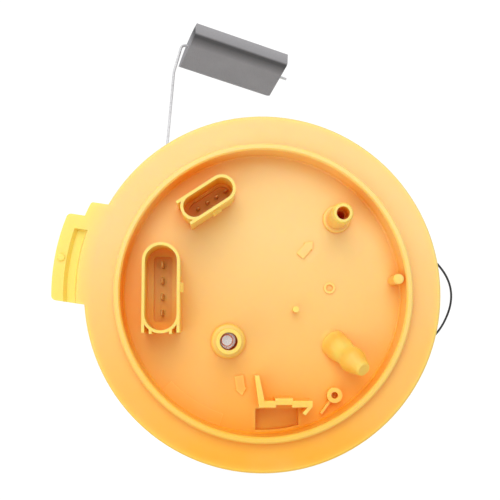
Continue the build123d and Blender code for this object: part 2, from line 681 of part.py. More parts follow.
def pump_end_cap():
    """Outlet end: brush towers, terminal tabs and the outlet stub with its barb."""
    top = PUMP_TOP - PUMP_WALL
    r = PUMP_R - PUMP_WALL
    body = tube(r, 15.2, top - 14.6, top, PUMP_AT) + rod(r, top - 7.6, top, PUMP_AT)
    body += rod(r - 1.5, top, PUMP_TOP + 1.2, PUMP_AT)
    for s in (-1, 1):
        y = PUMP_AT[1] + s * 6.4
        body += block((PUMP_AT[0] - 2.7, PUMP_AT[0] + 2.7), (y - 3.1, y + 3.1), (top - 8.2, top - 7.0))
        body -= block((PUMP_AT[0] - 1.75, PUMP_AT[0] + 1.75), (y - 2.15, y + 2.15), (top - 12, top - 1.5))
    outlet = [(0, PUMP_TOP + 1), (4.6, PUMP_TOP + 1), (4.6, PUMP_TOP + 5), (3.6, PUMP_TOP + 6)]
    outlet += [(3.6, PUMP_TOP + 11), (4.1, PUMP_TOP + 11), (3.2, PUMP_TOP + 14), (0, PUMP_TOP + 14)]
    spot = (PUMP_AT[0] + 6.5, PUMP_AT[1])
    body += turned(outlet, spot)
    body -= rod(2.0, top - 8, PUMP_TOP + 20, spot)
    return body - rod(1.64, top - 20, PUMP_TOP - 0.6, PUMP_AT)


def pump_plug():
    """Two-way plug on the end cap, held up through the lid's window."""
    body = block((PUMP_AT[0] - 9.5, PUMP_AT[0] - 1.0), (-5.2, 5.2), (PUMP_TOP + 1.2, LID_TOP + 3.0))
    return fillet(body.edges().filter_by(Axis.Z), 1.2)


def pump_sleeve():
    """Ribbed rubber sleeve between the pump and the filter housing."""
    body = tube(FILTER_R[0] - 0.05, PUMP_R, PUMP_BOTTOM + 3, PUMP_BOTTOM + 17, PUMP_AT)
    for z in (6.5, 11.5):
        body -= tube(FILTER_R[0] + 1, FILTER_R[0] - 1.0, PUMP_BOTTOM + z, PUMP_BOTTOM + z + 2.0, PUMP_AT)
    return body


# ---------------------------------------------------------------- ring filter
def filter_housing():
    inner, outer = FILTER_R
    z0 = CUP_BOTTOM + CUP_FLOOR + 7.8
    body = tube(outer, inner, z0, -118.0, PUMP_AT)
    return body - tube(outer - 1.3, inner + 1.3, z0 + 2.0, -117.0, PUMP_AT)


def filter_pleats():
    """Zig-zag paper wall standing in the annular housing."""
    inner, outer = FILTER_R[0] + 1.6, FILTER_R[1] - 1.6
    z0 = CUP_BOTTOM + CUP_FLOOR + 9.8
    count = 28
    outline = []
    for i in range(count):
        outline.append(arc_point(outer, 360.0 * i / count))
        outline.append(arc_point(inner + 1.4, 360.0 * (i + 0.5) / count))
    inline = []
    for i in range(count):
        inline.append(arc_point(outer - 1.4, 360.0 * i / count))
        inline.append(arc_point(inner, 360.0 * (i + 0.5) / count))
    face = make_face(Polyline(*outline, close=True)) - make_face(Polyline(*inline, close=True))
    return Pos(*PUMP_AT, z0) * extrude(face, 50.0)


def filter_cap():
    inner, outer = FILTER_R
    body = tube(outer, inner, -118.0, -115.6, PUMP_AT)
    spot = (FEED_LID_AT[0], FEED_LID_AT[1])
    return body + rod(3.0, -116, -109.0, spot) - rod(1.8, -119, -108, spot)


# ---------------------------------------------------------------- pressure regulator
def regulator():
    z = LID_TOP
    section = [(0, z + 0.02), (8.6, z + 0.02), (REGULATOR_R, z + 1.4), (REGULATOR_R, z + 8.05)]
    section += [(REGULATOR_R + 1.2, z + 8.05), (REGULATOR_R + 1.2, z + 9.8), (8.4, z + 9.8), (8.4, z + 15.0)]
    section += [(7.4, z + 16.0), (0, z + 16.0)]
    return turned(section, REGULATOR_AT)


def regulator_clip():
    """Bent spring-steel strap over the regulator's flange."""
    z = LID_TOP + 9.8
    strap = tube(12.6, 9.2, z, z + 0.8, REGULATOR_AT)
    x, y = REGULATOR_AT
    for s in (-1, 1):
        ears = sorted((x + s * 12.0, x + s * 13.2))
        strap += block(ears, (y - 2.4, y + 2.4), (z - 5.0, z + 0.8))
    return strap


# ---------------------------------------------------------------- hoses and leads
FEED_ROUTE = [
    (*FEED_AT, STUB_END + 5.0),
    (*FEED_AT, -50.0),
    (*FEED_LID_AT, -66.0),
    (*FEED_LID_AT, LID_TOP + 9.5),
]
RETURN_ROUTE = [
    (*PORT_AT, STUB_END + 5.0),
    (*PORT_AT, -50.0),
    (*RETURN_LID_AT, -64.0),
    (*RETURN_LID_AT, LID_TOP + 9.5),
]
HOSE_R = (5.6, 4.45)
POWER_LEADS = [
    [(-36.2, 6.0, -28.8), (-36.2, 6.0, -50.0), (-14.0, 10.0, -66.0), (2.8, 2.6, -78.0), (2.8, 2.6, -94.0)],
    [(-36.2, -5.0, -28.8), (-36.2, -5.0, -52.0), (-14.0, 5.5, -69.0), (2.8, -2.6, -81.0), (2.8, -2.6, -94.0)],
]
LEVEL_LEADS = [
    [(-19.2, 32.0, -26.8), (-19.2, 32.0, -48.0), (-39.6, 20.0, -64.0), (-39.6, 20.0, -88.0)],
    [(-16.2, 34.0, -26.8), (-16.2, 34.0, -52.0), (-39.6, 16.5, -70.0), (-39.6, 16.5, -88.0)],
]
EARTH_LEAD = [
    (36.7, 15.0, -18.0),
    (56.0, 25.5, -22.0),
    (84.2, 5.8, -38.0),
    (78.1, -20.3, -58.0),
    (62.0, -21.0, -84.0),
    (45.0, -16.0, -95.9),
    (36.7, -16.0, -95.9),
]
POWER_LEAD_R = 1.1
LEVEL_LEAD_R = 0.6
EARTH_LEAD_R = 0.45


def hose(points):
    return cord(points, HOSE_R[0]) - cord(points, HOSE_R[1])


def hose_clamps():
    """Crimped band clamps, two per hose."""
    clamps = []
    for at, z in ((FEED_AT, STUB_END + 2.0), (PORT_AT, STUB_END + 2.0)):
        clamps.append(tube(HOSE_R[0] + 0.7, HOSE_R[0], z - 2.5, z + 2.5, at))
    for at in (FEED_LID_AT, RETURN_LID_AT):
        clamps.append(tube(HOSE_R[0] + 0.7, HOSE_R[0], LID_TOP + 10.0, LID_TOP + 15.0, at))
    return [clamp + crimp(clamp) for clamp in clamps]


def crimp(clamp):
    """The pinched ear on a band clamp."""
    box = clamp.bounding_box()
    middle = box.center()
    across = (middle.Y - 1.4, middle.Y + 1.4)
    return block((box.max.X - 0.2, box.max.X + 1.8), across, (box.min.Z + 0.5, box.max.Z - 0.5))


def earth_tags():
    """Push-on tags at the two ends of the earth lead."""
    upper = block((31.5, 36.5), (12.0, 18.0), (-20.8, PAN_UNDER))
    lower = block((31.5, 36.5), (-19.0, -13.0), (LID_TOP, LID_TOP + 2.2))
    return upper, lower


# ---------------------------------------------------------------- level sender
def sender_tray():
    """Open moulded tray on the cup's flat side, with its pivot pin and end stops."""
    x0, x1 = TRAY_X
    body = block((x0, x1), (-15.0, 24.0), (-131.0, -88.0))
    body = fillet(body.edges().filter_by(Axis.X), 3.0)
    body -= block((x0 - 1, x1 - 2.6), (-13.4, 22.4), (-129.4, -89.6))
    y, z = PIVOT
    pin = Rot(0, 90, 0) * Cylinder(PIVOT_R, 6.8, align=(Align.CENTER, Align.CENTER, Align.MIN))
    body += Pos(x1 - 9.2, y, z) * pin
    boss = Rot(0, 90, 0) * Cylinder(4.2, 1.2, align=(Align.CENTER, Align.CENTER, Align.MIN))
    body += Pos(x1 - 2.6 - 1.2, y, z) * boss
    body += block((x0, x1 - 2.0), (-12.6, -10.8), (-98.0, -94.0))
    return body


def resistor_card():
    """Thin ceramic card, bedded on the tray below the pivot."""
    x1 = TRAY_X[1] - 2.6
    return block((x1 - 0.8, x1), (-11.5, 18.0), (-127.0, -105.0))


def arm_holder():
    """Hub, clip lugs and wiper carrier that turn on the pivot pin."""
    y, z = PIVOT
    x_in, x_out = TRAY_X[1] - 3.9, TRAY_X[0] - 2.6
    slope = arm_slope()
    hub = Rot(0, 90, 0) * Cylinder(6.4, x_in - x_out, align=(Align.CENTER, Align.CENTER, Align.MIN))
    body = Pos(x_out, y, z) * hub
    along = Pos(0, y, z) * Rot(degrees(slope), 0, 0)
    plate = block((x_out, TRAY_X[0] - 0.4), (-9.0, 26.0), (-4.2, 4.2))
    body += along * fillet(plate.edges().filter_by(Axis.X), 2.0)
    for y0, y1 in ((5.6, 9.4), (19.0, 23.0)):
        lug = block((x_out - 2.6, x_out + 0.1), (y0, y1), (-3.4, 3.4))
        body += along * lug
    wiper = Pos(0, y, z) * Rot(210.0, 0, 0) * block((x_in - 1.6, x_in), (0, 21.0), (-3.2, 3.2))
    body += wiper
    pivot_hole = Rot(0, 90, 0) * Cylinder(PIVOT_R + RUN, 30)
    body -= Pos(TRAY_X[0], y, z) * pivot_hole
    return body - cord(arm_points(), ARM_WIRE_R, ARM_BENDS)


def wipers():
    """Sprung contact fingers under the wiper carrier."""
    y, z = PIVOT
    card = TRAY_X[1] - 3.4
    x_in = TRAY_X[1] - 3.9
    fingers = []
    for s in (-1, 1):
        finger = block((x_in, card - 0.05), (15.0, 19.5), (s * 1.7 - 0.7, s * 1.7 + 0.7))
        fingers.append(Pos(0, y, z) * Rot(210.0, 0, 0) * finger)
    return fingers


def arm_slope():
    return atan2(ARM_KNEE[2] - ARM_HOOK[2], ARM_KNEE[1] - ARM_HOOK[1])


def arm_points():
    root = (ARM_HOOK[0] + 2.6, ARM_HOOK[1], ARM_HOOK[2])
    end = Vector(ARM_TURN) + FLOAT_AXIS * (FLOAT_START + FLOAT_LENGTH + 5.0)
    return [root, ARM_HOOK, ARM_KNEE, ARM_TURN, tuple(end)]


def arm_wire():
    return cord(arm_points(), ARM_WIRE_R, ARM_BENDS)


def float_plane():
    """Float frame: local X along its bore, local Y up its slope, local Z out of its broad face."""
    normal = (FLOAT_FACE - FLOAT_AXIS * FLOAT_FACE.dot(FLOAT_AXIS)).normalized()
    return Plane(origin=Vector(ARM_TURN) + FLOAT_AXIS * FLOAT_START, x_dir=FLOAT_AXIS, z_dir=normal)


def float_block():
    """Closed-cell foam float: flat broad face, deep rear edge and a rounded belly that thins to the front."""
    rear, ridge, front, toe = (0, 0), (-1.9, 7.4), (-25.6, 4.2), (-28.6, 0.1)
    belly = ThreePointArc(toe, (-14.5, -2.9), rear)
    section = make_face(Polyline(rear, ridge, front, toe) + belly)
    section = fillet(section.vertices().sort_by_distance((*ridge, 0))[0], 1.6)
    section = fillet(section.vertices().sort_by_distance((*front, 0))[0], 1.2)
    body = extrude(Plane.YZ * (Pos(-FLOAT_BORE[0], -FLOAT_BORE[1]) * section), FLOAT_LENGTH)
    bore = Rot(0, 90, 0) * Cylinder(ARM_WIRE_R + 0.05, 3 * FLOAT_LENGTH)
    return float_plane() * (body - bore)


# ---------------------------------------------------------------- all nodes
def main_parts():
    upper_tag, lower_tag = earth_tags()
    clamps = hose_clamps()
    parts = {
        "flange_cover": flange_cover(),
        "power_terminals": power_terminals(),
        "level_terminals": level_terminals(),
        "power_plug": power_plug(),
        "level_plug": level_plug(),
        "port_plunger": port_plunger(),
        "port_spring": port_spring(),
        "guide_rod_rear": guide_rod(ROD_AT[0]),
        "guide_rod_front": guide_rod(ROD_AT[1]),
        "rod_clips": rod_clips(),
        "rod_spring_rear": rod_spring(ROD_AT[0]),
        "rod_spring_front": rod_spring(ROD_AT[1]),
        "reservoir_cup": reservoir_cup(),
        "reservoir_lid": reservoir_lid(),
        "foot_valve": foot_valve(),
        "inlet_strainer": inlet_strainer(),
        "jet_pump": jet_pump(),
        "pump_casing": pump_casing(),
        "pump_inlet_plate": pump_inlet_plate(),
        "pump_plate": pump_plate(),
        "impeller": impeller(),
        "rotor_shaft": rotor_shaft(),
        "armature_core": armature_core(),
        "armature_windings": armature_windings(),
        "commutator": commutator(),
        "pump_magnets": pump_magnets(),
        "brushes": brushes(),
        "pump_end_cap": pump_end_cap(),
        "pump_plug": pump_plug(),
        "pump_sleeve": pump_sleeve(),
        "filter_housing": filter_housing(),
        "filter_pleats": filter_pleats(),
        "filter_cap": filter_cap(),
        "pressure_regulator": regulator(),
        "regulator_clip": regulator_clip(),
        "feed_hose": hose(FEED_ROUTE),
        "return_hose": hose(RETURN_ROUTE),
        "hose_clamps_upper": Compound(children=clamps[:2]),
        "hose_clamps_lower": Compound(children=clamps[2:]),
        "power_leads": Compound(children=[cord(p, POWER_LEAD_R) for p in POWER_LEADS]),
        "level_leads": Compound(children=[cord(p, LEVEL_LEAD_R) for p in LEVEL_LEADS]),
        "earth_lead": cord(EARTH_LEAD, EARTH_LEAD_R),
        "earth_tag_upper": upper_tag,
        "earth_tag_lower": lower_tag,
        "sender_tray": sender_tray(),
        "resistor_card": resistor_card(),
        "arm_holder": arm_holder(),
        "wipers": Compound(children=wipers()),
        "arm_wire": arm_wire(),
        "float_block": float_block(),
    }
    return parts


if __name__ == "__main__":
    os.makedirs("parts", exist_ok=True)
    for name, shape in main_parts().items():
        export_step(shape, f"parts/{name}.step")
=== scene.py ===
import math

import bmesh
import bpy
from mathutils import Matrix, Vector


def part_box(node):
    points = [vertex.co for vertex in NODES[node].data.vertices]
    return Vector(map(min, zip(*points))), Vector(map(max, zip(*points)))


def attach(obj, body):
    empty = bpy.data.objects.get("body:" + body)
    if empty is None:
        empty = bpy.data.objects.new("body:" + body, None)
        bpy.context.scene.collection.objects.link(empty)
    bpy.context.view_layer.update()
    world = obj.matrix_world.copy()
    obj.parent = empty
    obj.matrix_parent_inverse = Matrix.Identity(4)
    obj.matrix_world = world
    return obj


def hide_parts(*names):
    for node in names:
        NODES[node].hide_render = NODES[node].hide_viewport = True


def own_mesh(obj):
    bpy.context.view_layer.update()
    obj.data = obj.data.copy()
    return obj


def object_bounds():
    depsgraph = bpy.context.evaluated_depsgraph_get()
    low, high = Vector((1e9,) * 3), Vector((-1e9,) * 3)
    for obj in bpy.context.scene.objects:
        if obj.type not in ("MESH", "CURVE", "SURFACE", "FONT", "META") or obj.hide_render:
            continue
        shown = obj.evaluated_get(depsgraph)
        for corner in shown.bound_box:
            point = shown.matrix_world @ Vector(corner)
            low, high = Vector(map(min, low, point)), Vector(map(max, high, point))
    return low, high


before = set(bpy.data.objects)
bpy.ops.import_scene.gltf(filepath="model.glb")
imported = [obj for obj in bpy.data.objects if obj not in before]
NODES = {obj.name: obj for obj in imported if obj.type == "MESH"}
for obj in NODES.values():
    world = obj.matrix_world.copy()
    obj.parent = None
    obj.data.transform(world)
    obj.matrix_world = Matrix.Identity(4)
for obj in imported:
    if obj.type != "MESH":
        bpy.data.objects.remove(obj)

bl_info = {
    "name": "Fuel Pump Module",
    "version": (1, 0, 0),
    "blender": (4, 5, 0),
    "location": "View3D > Sidebar > Fuel Pump Module",
    "description": "Dresses the in-tank fuel pump module: cover, springs, hoses, leads, sender and stage",
    "category": "Object",
}

MM = 0.001

# Heights and places shared with the solids, in millimetres.
LID_TOP = -97.0
BOSS_BOTTOM = -26.0
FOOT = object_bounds()[0][2] / MM

RODS = {"rod_spring_rear": (10.0, 37.0), "rod_spring_front": (10.0, -37.0)}
ROD_SPRING_TURNS = 10.2

PLUNGER_AT = (-13.45, -17.8)
PORT_SPRING_SEATS = (-19.95, -5.05)
PORT_SPRING_RADIUS = 2.2
PORT_SPRING_WIRE = 0.3
PORT_SPRING_TURNS = 8.0

# Contact pads lie on the sender's card, along an arc about its pivot (Y, Z). Their angles are in degrees.
SENDER_PIVOT = (12.0, -100.0)
PAD_COUNT = 34
PAD_RADIUS = 17.4
PAD_START = 204.0
PAD_SWEEP = 70.0
PAD_SIZE = (3.4, 0.05, 0.34)

# The cover's painted light and shade change over these spans: along Y, outwards from its middle, and up.
PAINTED_LIGHT_SPAN = (-60.0, 22.0)
FITTINGS_REACH = (50.0, 51.5)
PAN_REACH = (53.5, 55.0)
TAB_REACH = (63.0, 72.0)
FITTINGS_HEIGHT = (-4.0, 2.0)
# Thin and hollow places are felt for this far, within the wall and out in the open.
WALL_THICKNESS = 2.4
HOLLOW_DEPTH = 14.0

# The float's painted highlight and painted shade change with the distance from its ridge, in the direction
# that its sloping face takes.
FLOAT_RIDGE = (-28.1, 149.0, -138.3)
FLOAT_DOWN = (-0.365, -0.633, -0.683)
RIDGE_HIGHLIGHT_BAND = (0.0, 2.0)
SHADE_RISE = (1.8, 2.7)
SHADE_FALL = (4.2, 10.5)

FEED_ROUTE = [(28.3, 28.1, -27.0), (28.3, 28.1, -50.0), (16.0, 23.0, -66.0), (16.0, 23.0, -87.5)]
RETURN_ROUTE = [(-12.9, -18.1, -27.0), (-12.9, -18.1, -50.0), (-19.0, -4.0, -64.0), (-19.0, -4.0, -87.5)]
POWER_ROUTES = [
    [(-36.2, 6.0, -28.8), (-36.2, 6.0, -50.0), (-14.0, 10.0, -66.0), (2.8, 2.6, -78.0), (2.8, 2.6, -94.0)],
    [(-36.2, -5.0, -28.8), (-36.2, -5.0, -52.0), (-14.0, 5.5, -69.0), (2.8, -2.6, -81.0), (2.8, -2.6, -94.0)],
]
LEVEL_ROUTES = [
    [(-19.2, 32.0, -26.8), (-19.2, 32.0, -48.0), (-39.6, 20.0, -64.0), (-39.6, 20.0, -88.0)],
    [(-16.2, 34.0, -26.8), (-16.2, 34.0, -52.0), (-39.6, 16.5, -70.0), (-39.6, 16.5, -88.0)],
]
EARTH_ROUTE = [
    (36.7, 15.0, -18.0),
    (56.0, 25.5, -22.0),
    (84.2, 5.8, -38.0),
    (78.1, -20.3, -58.0),
    (62.0, -21.0, -84.0),
    (45.0, -16.0, -95.9),
    (36.7, -16.0, -95.9),
]


def metres(values):
    """Millimetres as the metres that the scene is in."""
    return tuple(value * MM for value in values)


def srgb(red, green, blue):
    """A display colour in 0 to 255, as the linear triple that shaders use."""
    def linear(value):
        value /= 255.0
        return value / 12.92 if value <= 0.04045 else ((value + 0.055) / 1.055) ** 2.4
    return (linear(red), linear(green), linear(blue))


def shade(base, factor):
    """The same colour, darker below a factor of 1 and paler above it."""
    return tuple(min(1.0, channel * factor) for channel in base)


def colour(name, description, default):
    return bpy.props.FloatVectorProperty(
        name=name, description=description, default=default, size=3, min=0.0, max=1.0, subtype="COLOR")


def length(name, description, default):
    return bpy.props.FloatProperty(
        name=name, description=description, default=default, min=0.0, unit="LENGTH", precision=5)


# ---------------------------------------------------------------- settings
class ModuleColours(bpy.types.PropertyGroup):
    """Colours of the finishes"""

    cover: colour("Cover", "Natural amber nylon of the cover", srgb(255, 212, 140))
    cup: colour("Reservoir", "Milky acetal of the reservoir cup", srgb(226, 222, 208))
    black: colour("Black plastic", "Glass-filled nylon of lid, plugs and tray", srgb(38, 38, 40))
    foam: colour("Float foam", "Closed-cell rubber foam", srgb(148, 147, 150))
    steel: colour("Steel", "Guide rods, springs, clips, hose bands and pump shaft", srgb(196, 197, 199))
    arm: colour("Arm wire", "Bright wire of the float arm", srgb(230, 230, 232))
    plunger: colour("Plunger", "Turned and polished port plunger", srgb(252, 248, 244))
    brass: colour("Brass", "Plated terminals in the two sockets", srgb(214, 168, 104))
    zinc: colour("Zinc plate", "Pump can and regulator", srgb(188, 190, 192))
    copper: colour("Copper", "Enamelled windings and commutator", srgb(184, 108, 62))
    tin: colour("Tinned brass", "Wipers of the level sender", srgb(176, 166, 140))
    lead: colour("Power lead", "Insulation of the live power lead", srgb(150, 26, 20))
    signal: colour("Signal lead", "Insulation of the level signal lead", srgb(196, 150, 32))
    cloth: colour("Strainer cloth", "Woven mesh of the inlet strainer", srgb(214, 212, 200))
    impeller: colour("Impeller", "Phenolic plastic of the impeller", srgb(72, 48, 32))
    core: colour("Armature core", "Stacked sheet of the armature core", srgb(120, 120, 124))
    ferrite: colour("Magnets", "Sintered ferrite of the pump magnets", srgb(58, 58, 62))
    carbon: colour("Brushes", "Pressed carbon of the brushes", srgb(34, 34, 36))
    silver: colour("Contact pads", "Silver of the sender's contact pads", srgb(150, 148, 146))
    paper: colour("Filter paper", "Pleated paper of the ring filter", srgb(216, 200, 152))
    ceramic: colour("Ceramic", "Level sender card", srgb(232, 231, 224))
    floor: colour("Floor", "Pale studio floor", (0.82, 0.82, 0.82))


class ModuleSizes(bpy.types.PropertyGroup):
    """Sizes of the springs, hoses, leads and floor"""

    spring_wire: length("Spring wire", "Radius of the rod springs' wire", 0.7 * MM)
    spring_radius: length("Spring radius", "Radius of the rod springs at the wire's middle", 6.4 * MM)
    hose_radius: length("Hose radius", "Outer radius of a hose at its ridges", 5.58 * MM)
    hose_bore: length("Hose bore", "Inner radius of a hose", 4.46 * MM)
    ridge_pitch: length("Ridge pitch", "Distance from one hose ridge to the next", 2.6 * MM)
    ridge_depth: length("Ridge depth", "Depth of the grooves between hose ridges", 0.75 * MM)
    cuff: length("Cuff", "Smooth length at each end of a hose", 6.0 * MM)
    power_lead: length("Power lead", "Radius of a power lead", 1.1 * MM)
    level_lead: length("Level lead", "Radius of a level signal lead", 0.6 * MM)
    earth_lead: length("Earth lead", "Radius of the earth lead", 0.45 * MM)
    floor: length("Floor", "Side of the studio floor", 6.0)


# ---------------------------------------------------------------- node networks
# Sockets that share their name with others go by their place on the node.
MIX_FACTOR, MIX_FIRST, MIX_SECOND, MIX_RESULT = 0, 6, 7, 2
TRIM_START, TRIM_END = 4, 5


class Network:
    """Short calls for the nodes and links of one node tree."""

    def __init__(self, tree):
        self.nodes = tree.nodes
        self.links = tree.links

    def feed(self, socket, value):
        """Links a socket to another, or gives it a value of its own."""
        if isinstance(value, bpy.types.NodeSocket):
            self.links.new(value, socket)
        else:
            socket.default_value = value

    def node(self, kind, inputs=None, **settings):
        made = self.nodes.new(kind)
        for key, value in settings.items():
            setattr(made, key, value)
        for key, value in (inputs or {}).items():
            self.feed(made.inputs[key], value)
        return made

    def math(self, operation, *values):
        return self.node("ShaderNodeMath", dict(enumerate(values)), operation=operation).outputs[0]

    def vector_math(self, operation, *values):
        return self.node("ShaderNodeVectorMath", dict(enumerate(values)), operation=operation).outputs

    def spread(self, value, low, high, to_low=0.0, to_high=1.0):
        """Maps one range of a value to another and holds it at both ends."""
        made = self.node("ShaderNodeMapRange", {
            "Value": value, "From Min": low, "From Max": high, "To Min": to_low, "To Max": to_high})
        return made.outputs["Result"]


# ---------------------------------------------------------------- materials
class Finish(Network):
    """A Principled material on Object coordinates."""

    def __init__(self, name, base, roughness, **sockets):
        self.material = bpy.data.materials.new(name)
        self.material.use_nodes = True
        self.material.diffuse_color = (*base, 1.0)
        super().__init__(self.material.node_tree)
        self.shader = self.nodes["Principled BSDF"]
        self.base = tuple(base)
        self.shader.inputs["Base Color"].default_value = (*base, 1.0)
        self.shader.inputs["Roughness"].default_value = roughness
        for socket, value in sockets.items():
            self.shader.inputs[socket.replace("_", " ")].default_value = value
        source = self.node("ShaderNodeTexCoord")
        self.coordinates = source.outputs["Object"]
        self.normals = source.outputs["Normal"]
        self.height = None

    def stretched(self, scale):
        return self.node("ShaderNodeMapping", {"Vector": self.coordinates, "Scale": scale}).outputs["Vector"]

    def noise(self, scale, detail, stretch=None):
        vector = self.stretched(stretch) if stretch else self.coordinates
        made = self.node("ShaderNodeTexNoise", {"Vector": vector, "Scale": scale, "Detail": detail})
        return made.outputs["Fac"]

    def wave(self, scale, inputs=None, **settings):
        inputs = {"Vector": self.coordinates, "Scale": scale, **(inputs or {})}
        return self.node("ShaderNodeTexWave", inputs, **settings).outputs["Fac"]

    def cells(self, scale):
        made = self.node("ShaderNodeTexVoronoi", {"Vector": self.coordinates, "Scale": scale})
        return made.outputs["Distance"]

    def occlusion(self, distance, inside):
        """How far a place is closed in, outside the surface or within the wall."""
        made = self.node("ShaderNodeAmbientOcclusion", {"Distance": distance},
                         inside=inside, only_local=True, samples=8)
        return self.math("SUBTRACT", 1.0, made.outputs["AO"])

    def tint(self, mask, other):
        """Mixes another colour over the base where the mask is high."""
        target = self.shader.inputs["Base Color"]
        under = target.links[0].from_socket if target.is_linked else (*self.base, 1.0)
        mix = self.node("ShaderNodeMix", data_type="RGBA")
        self.feed(mix.inputs[MIX_FACTOR], mask)
        self.feed(mix.inputs[MIX_FIRST], under)
        self.feed(mix.inputs[MIX_SECOND], (*other, 1.0))
        self.links.new(mix.outputs[MIX_RESULT], target)

    def roughen(self, value, low, high):
        self.feed(self.shader.inputs["Roughness"], self.spread(value, 0.3, 0.7, low, high))

    def bump(self, value, distance, strength=1.0):
        """Adds fine relief over what the material already has."""
        made = self.node("ShaderNodeBump", {"Height": value, "Strength": strength, "Distance": distance})
        if self.height:
            self.links.new(self.height, made.inputs["Normal"])
        self.height = made.outputs["Normal"]
        self.links.new(self.height, self.shader.inputs["Normal"])


# Painted light and shade of the nylon: a painted glow where light passes through the fittings, the tab and
# thin walls, and a deeper painted shade on upright faces and in hollows.
FITTINGS_GLOW_TONE = srgb(255, 206, 70)
SIDES_SHADE_TONE = srgb(255, 178, 14)
TAB_GLOW_TONE = srgb(255, 232, 104)
THIN_GLOW_TONE = srgb(255, 226, 118)
HOLLOW_SHADE_TONE = srgb(255, 174, 12)


def amber_nylon(base):
    """Translucent moulded nylon with painted light and shade: deeper toward -Y and in its hollows, paler
    where it is thin.
    """
    finish = Finish("amber_nylon", base, 0.4, Subsurface_Weight=0.6, Subsurface_Scale=0.004, IOR=1.45)
    finish.shader.inputs["Subsurface Radius"].default_value = (1.0, 0.7, 0.2)
    place = finish.node("ShaderNodeSeparateXYZ", {"Vector": finish.coordinates}).outputs
    facing = finish.node("ShaderNodeSeparateXYZ", {"Vector": finish.normals}).outputs
    reach = finish.vector_math("LENGTH", finish.stretched((1.0, 1.0, 0.0)))["Value"]

    # Painted light: the whole moulding is painted deeper toward -Y, away from the overhead lamp, with faint
    # flow marks.
    painted_light_falloff = finish.spread(place["Y"], *metres(PAINTED_LIGHT_SPAN), 1.0, 0.0)
    finish.tint(painted_light_falloff, (base[0], base[1] * 0.7, base[2] * 0.12))
    flow = finish.noise(28.0, 4.0, (1.0, 1.0, 0.4))
    finish.tint(finish.spread(flow, 0.42, 0.72, 0.0, 0.25), shade(base, 0.9))

    # Painted light: what stands in the pan and the tab outside are painted with a glow, as if lit through,
    # and the upright faces in the pan with a deeper painted shade.
    pan = finish.spread(reach, *metres(PAN_REACH), 1.0, 0.0)
    raised = finish.spread(place["Z"], *metres(FITTINGS_HEIGHT))
    standing = finish.math("MULTIPLY", raised, finish.spread(reach, *metres(FITTINGS_REACH), 1.0, 0.0))
    finish.tint(finish.math("MULTIPLY", standing, 0.3), FITTINGS_GLOW_TONE)
    upright = finish.math("SUBTRACT", 1.0, finish.math("ABSOLUTE", facing["Z"]))
    sides = finish.math("MULTIPLY", pan, finish.spread(upright, 0.1, 0.3, 0.0, 0.4))
    finish.tint(sides, SIDES_SHADE_TONE)
    finish.tint(finish.spread(reach, *metres(TAB_REACH), 0.0, 0.7), TAB_GLOW_TONE)

    # Thin walls are painted paler, as if lit through, and hollows deeper, as painted shade.
    thin = finish.occlusion(WALL_THICKNESS * MM, True)
    finish.tint(finish.spread(thin, 0.15, 0.75, 0.0, 0.7), THIN_GLOW_TONE)
    hollow = finish.occlusion(HOLLOW_DEPTH * MM, False)
    deep = finish.math("MULTIPLY", pan, finish.spread(hollow, 0.3, 0.85, 0.0, 0.85))
    finish.tint(deep, HOLLOW_SHADE_TONE)

    finish.roughen(finish.noise(90.0, 3.0), 0.34, 0.46)
    finish.bump(finish.noise(2600.0, 2.0), 0.00002, 0.35)
    finish.bump(finish.noise(160.0, 2.0), 0.00006, 0.25)
    return finish.material


# Metal whose fine lines run no particular way has this in place of a stretch.
EVEN = (1.0, 1.0, 1.0)


def moulded_plastic(name, base, roughness=0.5, grain=1800.0, glow=0.0):
    """Injection-moulded plastic with a fine grain and slight cloudiness."""
    finish = Finish(name, base, roughness)
    if glow:
        finish.shader.inputs["Subsurface Weight"].default_value = glow
        finish.shader.inputs["Subsurface Scale"].default_value = 0.003
    cloud = finish.noise(70.0, 4.0)
    finish.tint(finish.spread(cloud, 0.4, 0.75, 0.0, 0.4), shade(base, 0.82))
    finish.roughen(cloud, roughness - 0.07, roughness + 0.08)
    finish.bump(finish.noise(grain, 2.0), 0.00003, 0.4)
    return finish.material


def drawn_metal(name, base, along=(1.0, 1.0, 0.05), roughness=0.28, metallic=1.0):
    """Bright drawn or rolled metal with fine lines along its length."""
    finish = Finish(name, base, roughness, Metallic=metallic)
    lines = finish.noise(2200.0, 2.0, along)
    stain = finish.noise(120.0, 4.0)
    finish.tint(finish.spread(stain, 0.5, 0.8, 0.0, 0.5), shade(base, 0.68))
    finish.roughen(lines, roughness - 0.08, roughness + 0.14)
    finish.bump(lines, 0.00001, 0.3)
    return finish.material


def zinc_plate(base):
    """Dull bright plating with a crystal bloom."""
    finish = Finish("zinc_plate", base, 0.36, Metallic=1.0)
    bloom = finish.noise(60.0, 5.0)
    finish.tint(finish.spread(finish.cells(260.0), 0.2, 0.9, 0.0, 0.25), shade(base, 0.8))
    finish.tint(finish.spread(bloom, 0.55, 0.8, 0.0, 0.6), shade(base, 0.6))
    finish.roughen(bloom, 0.28, 0.5)
    return finish.material


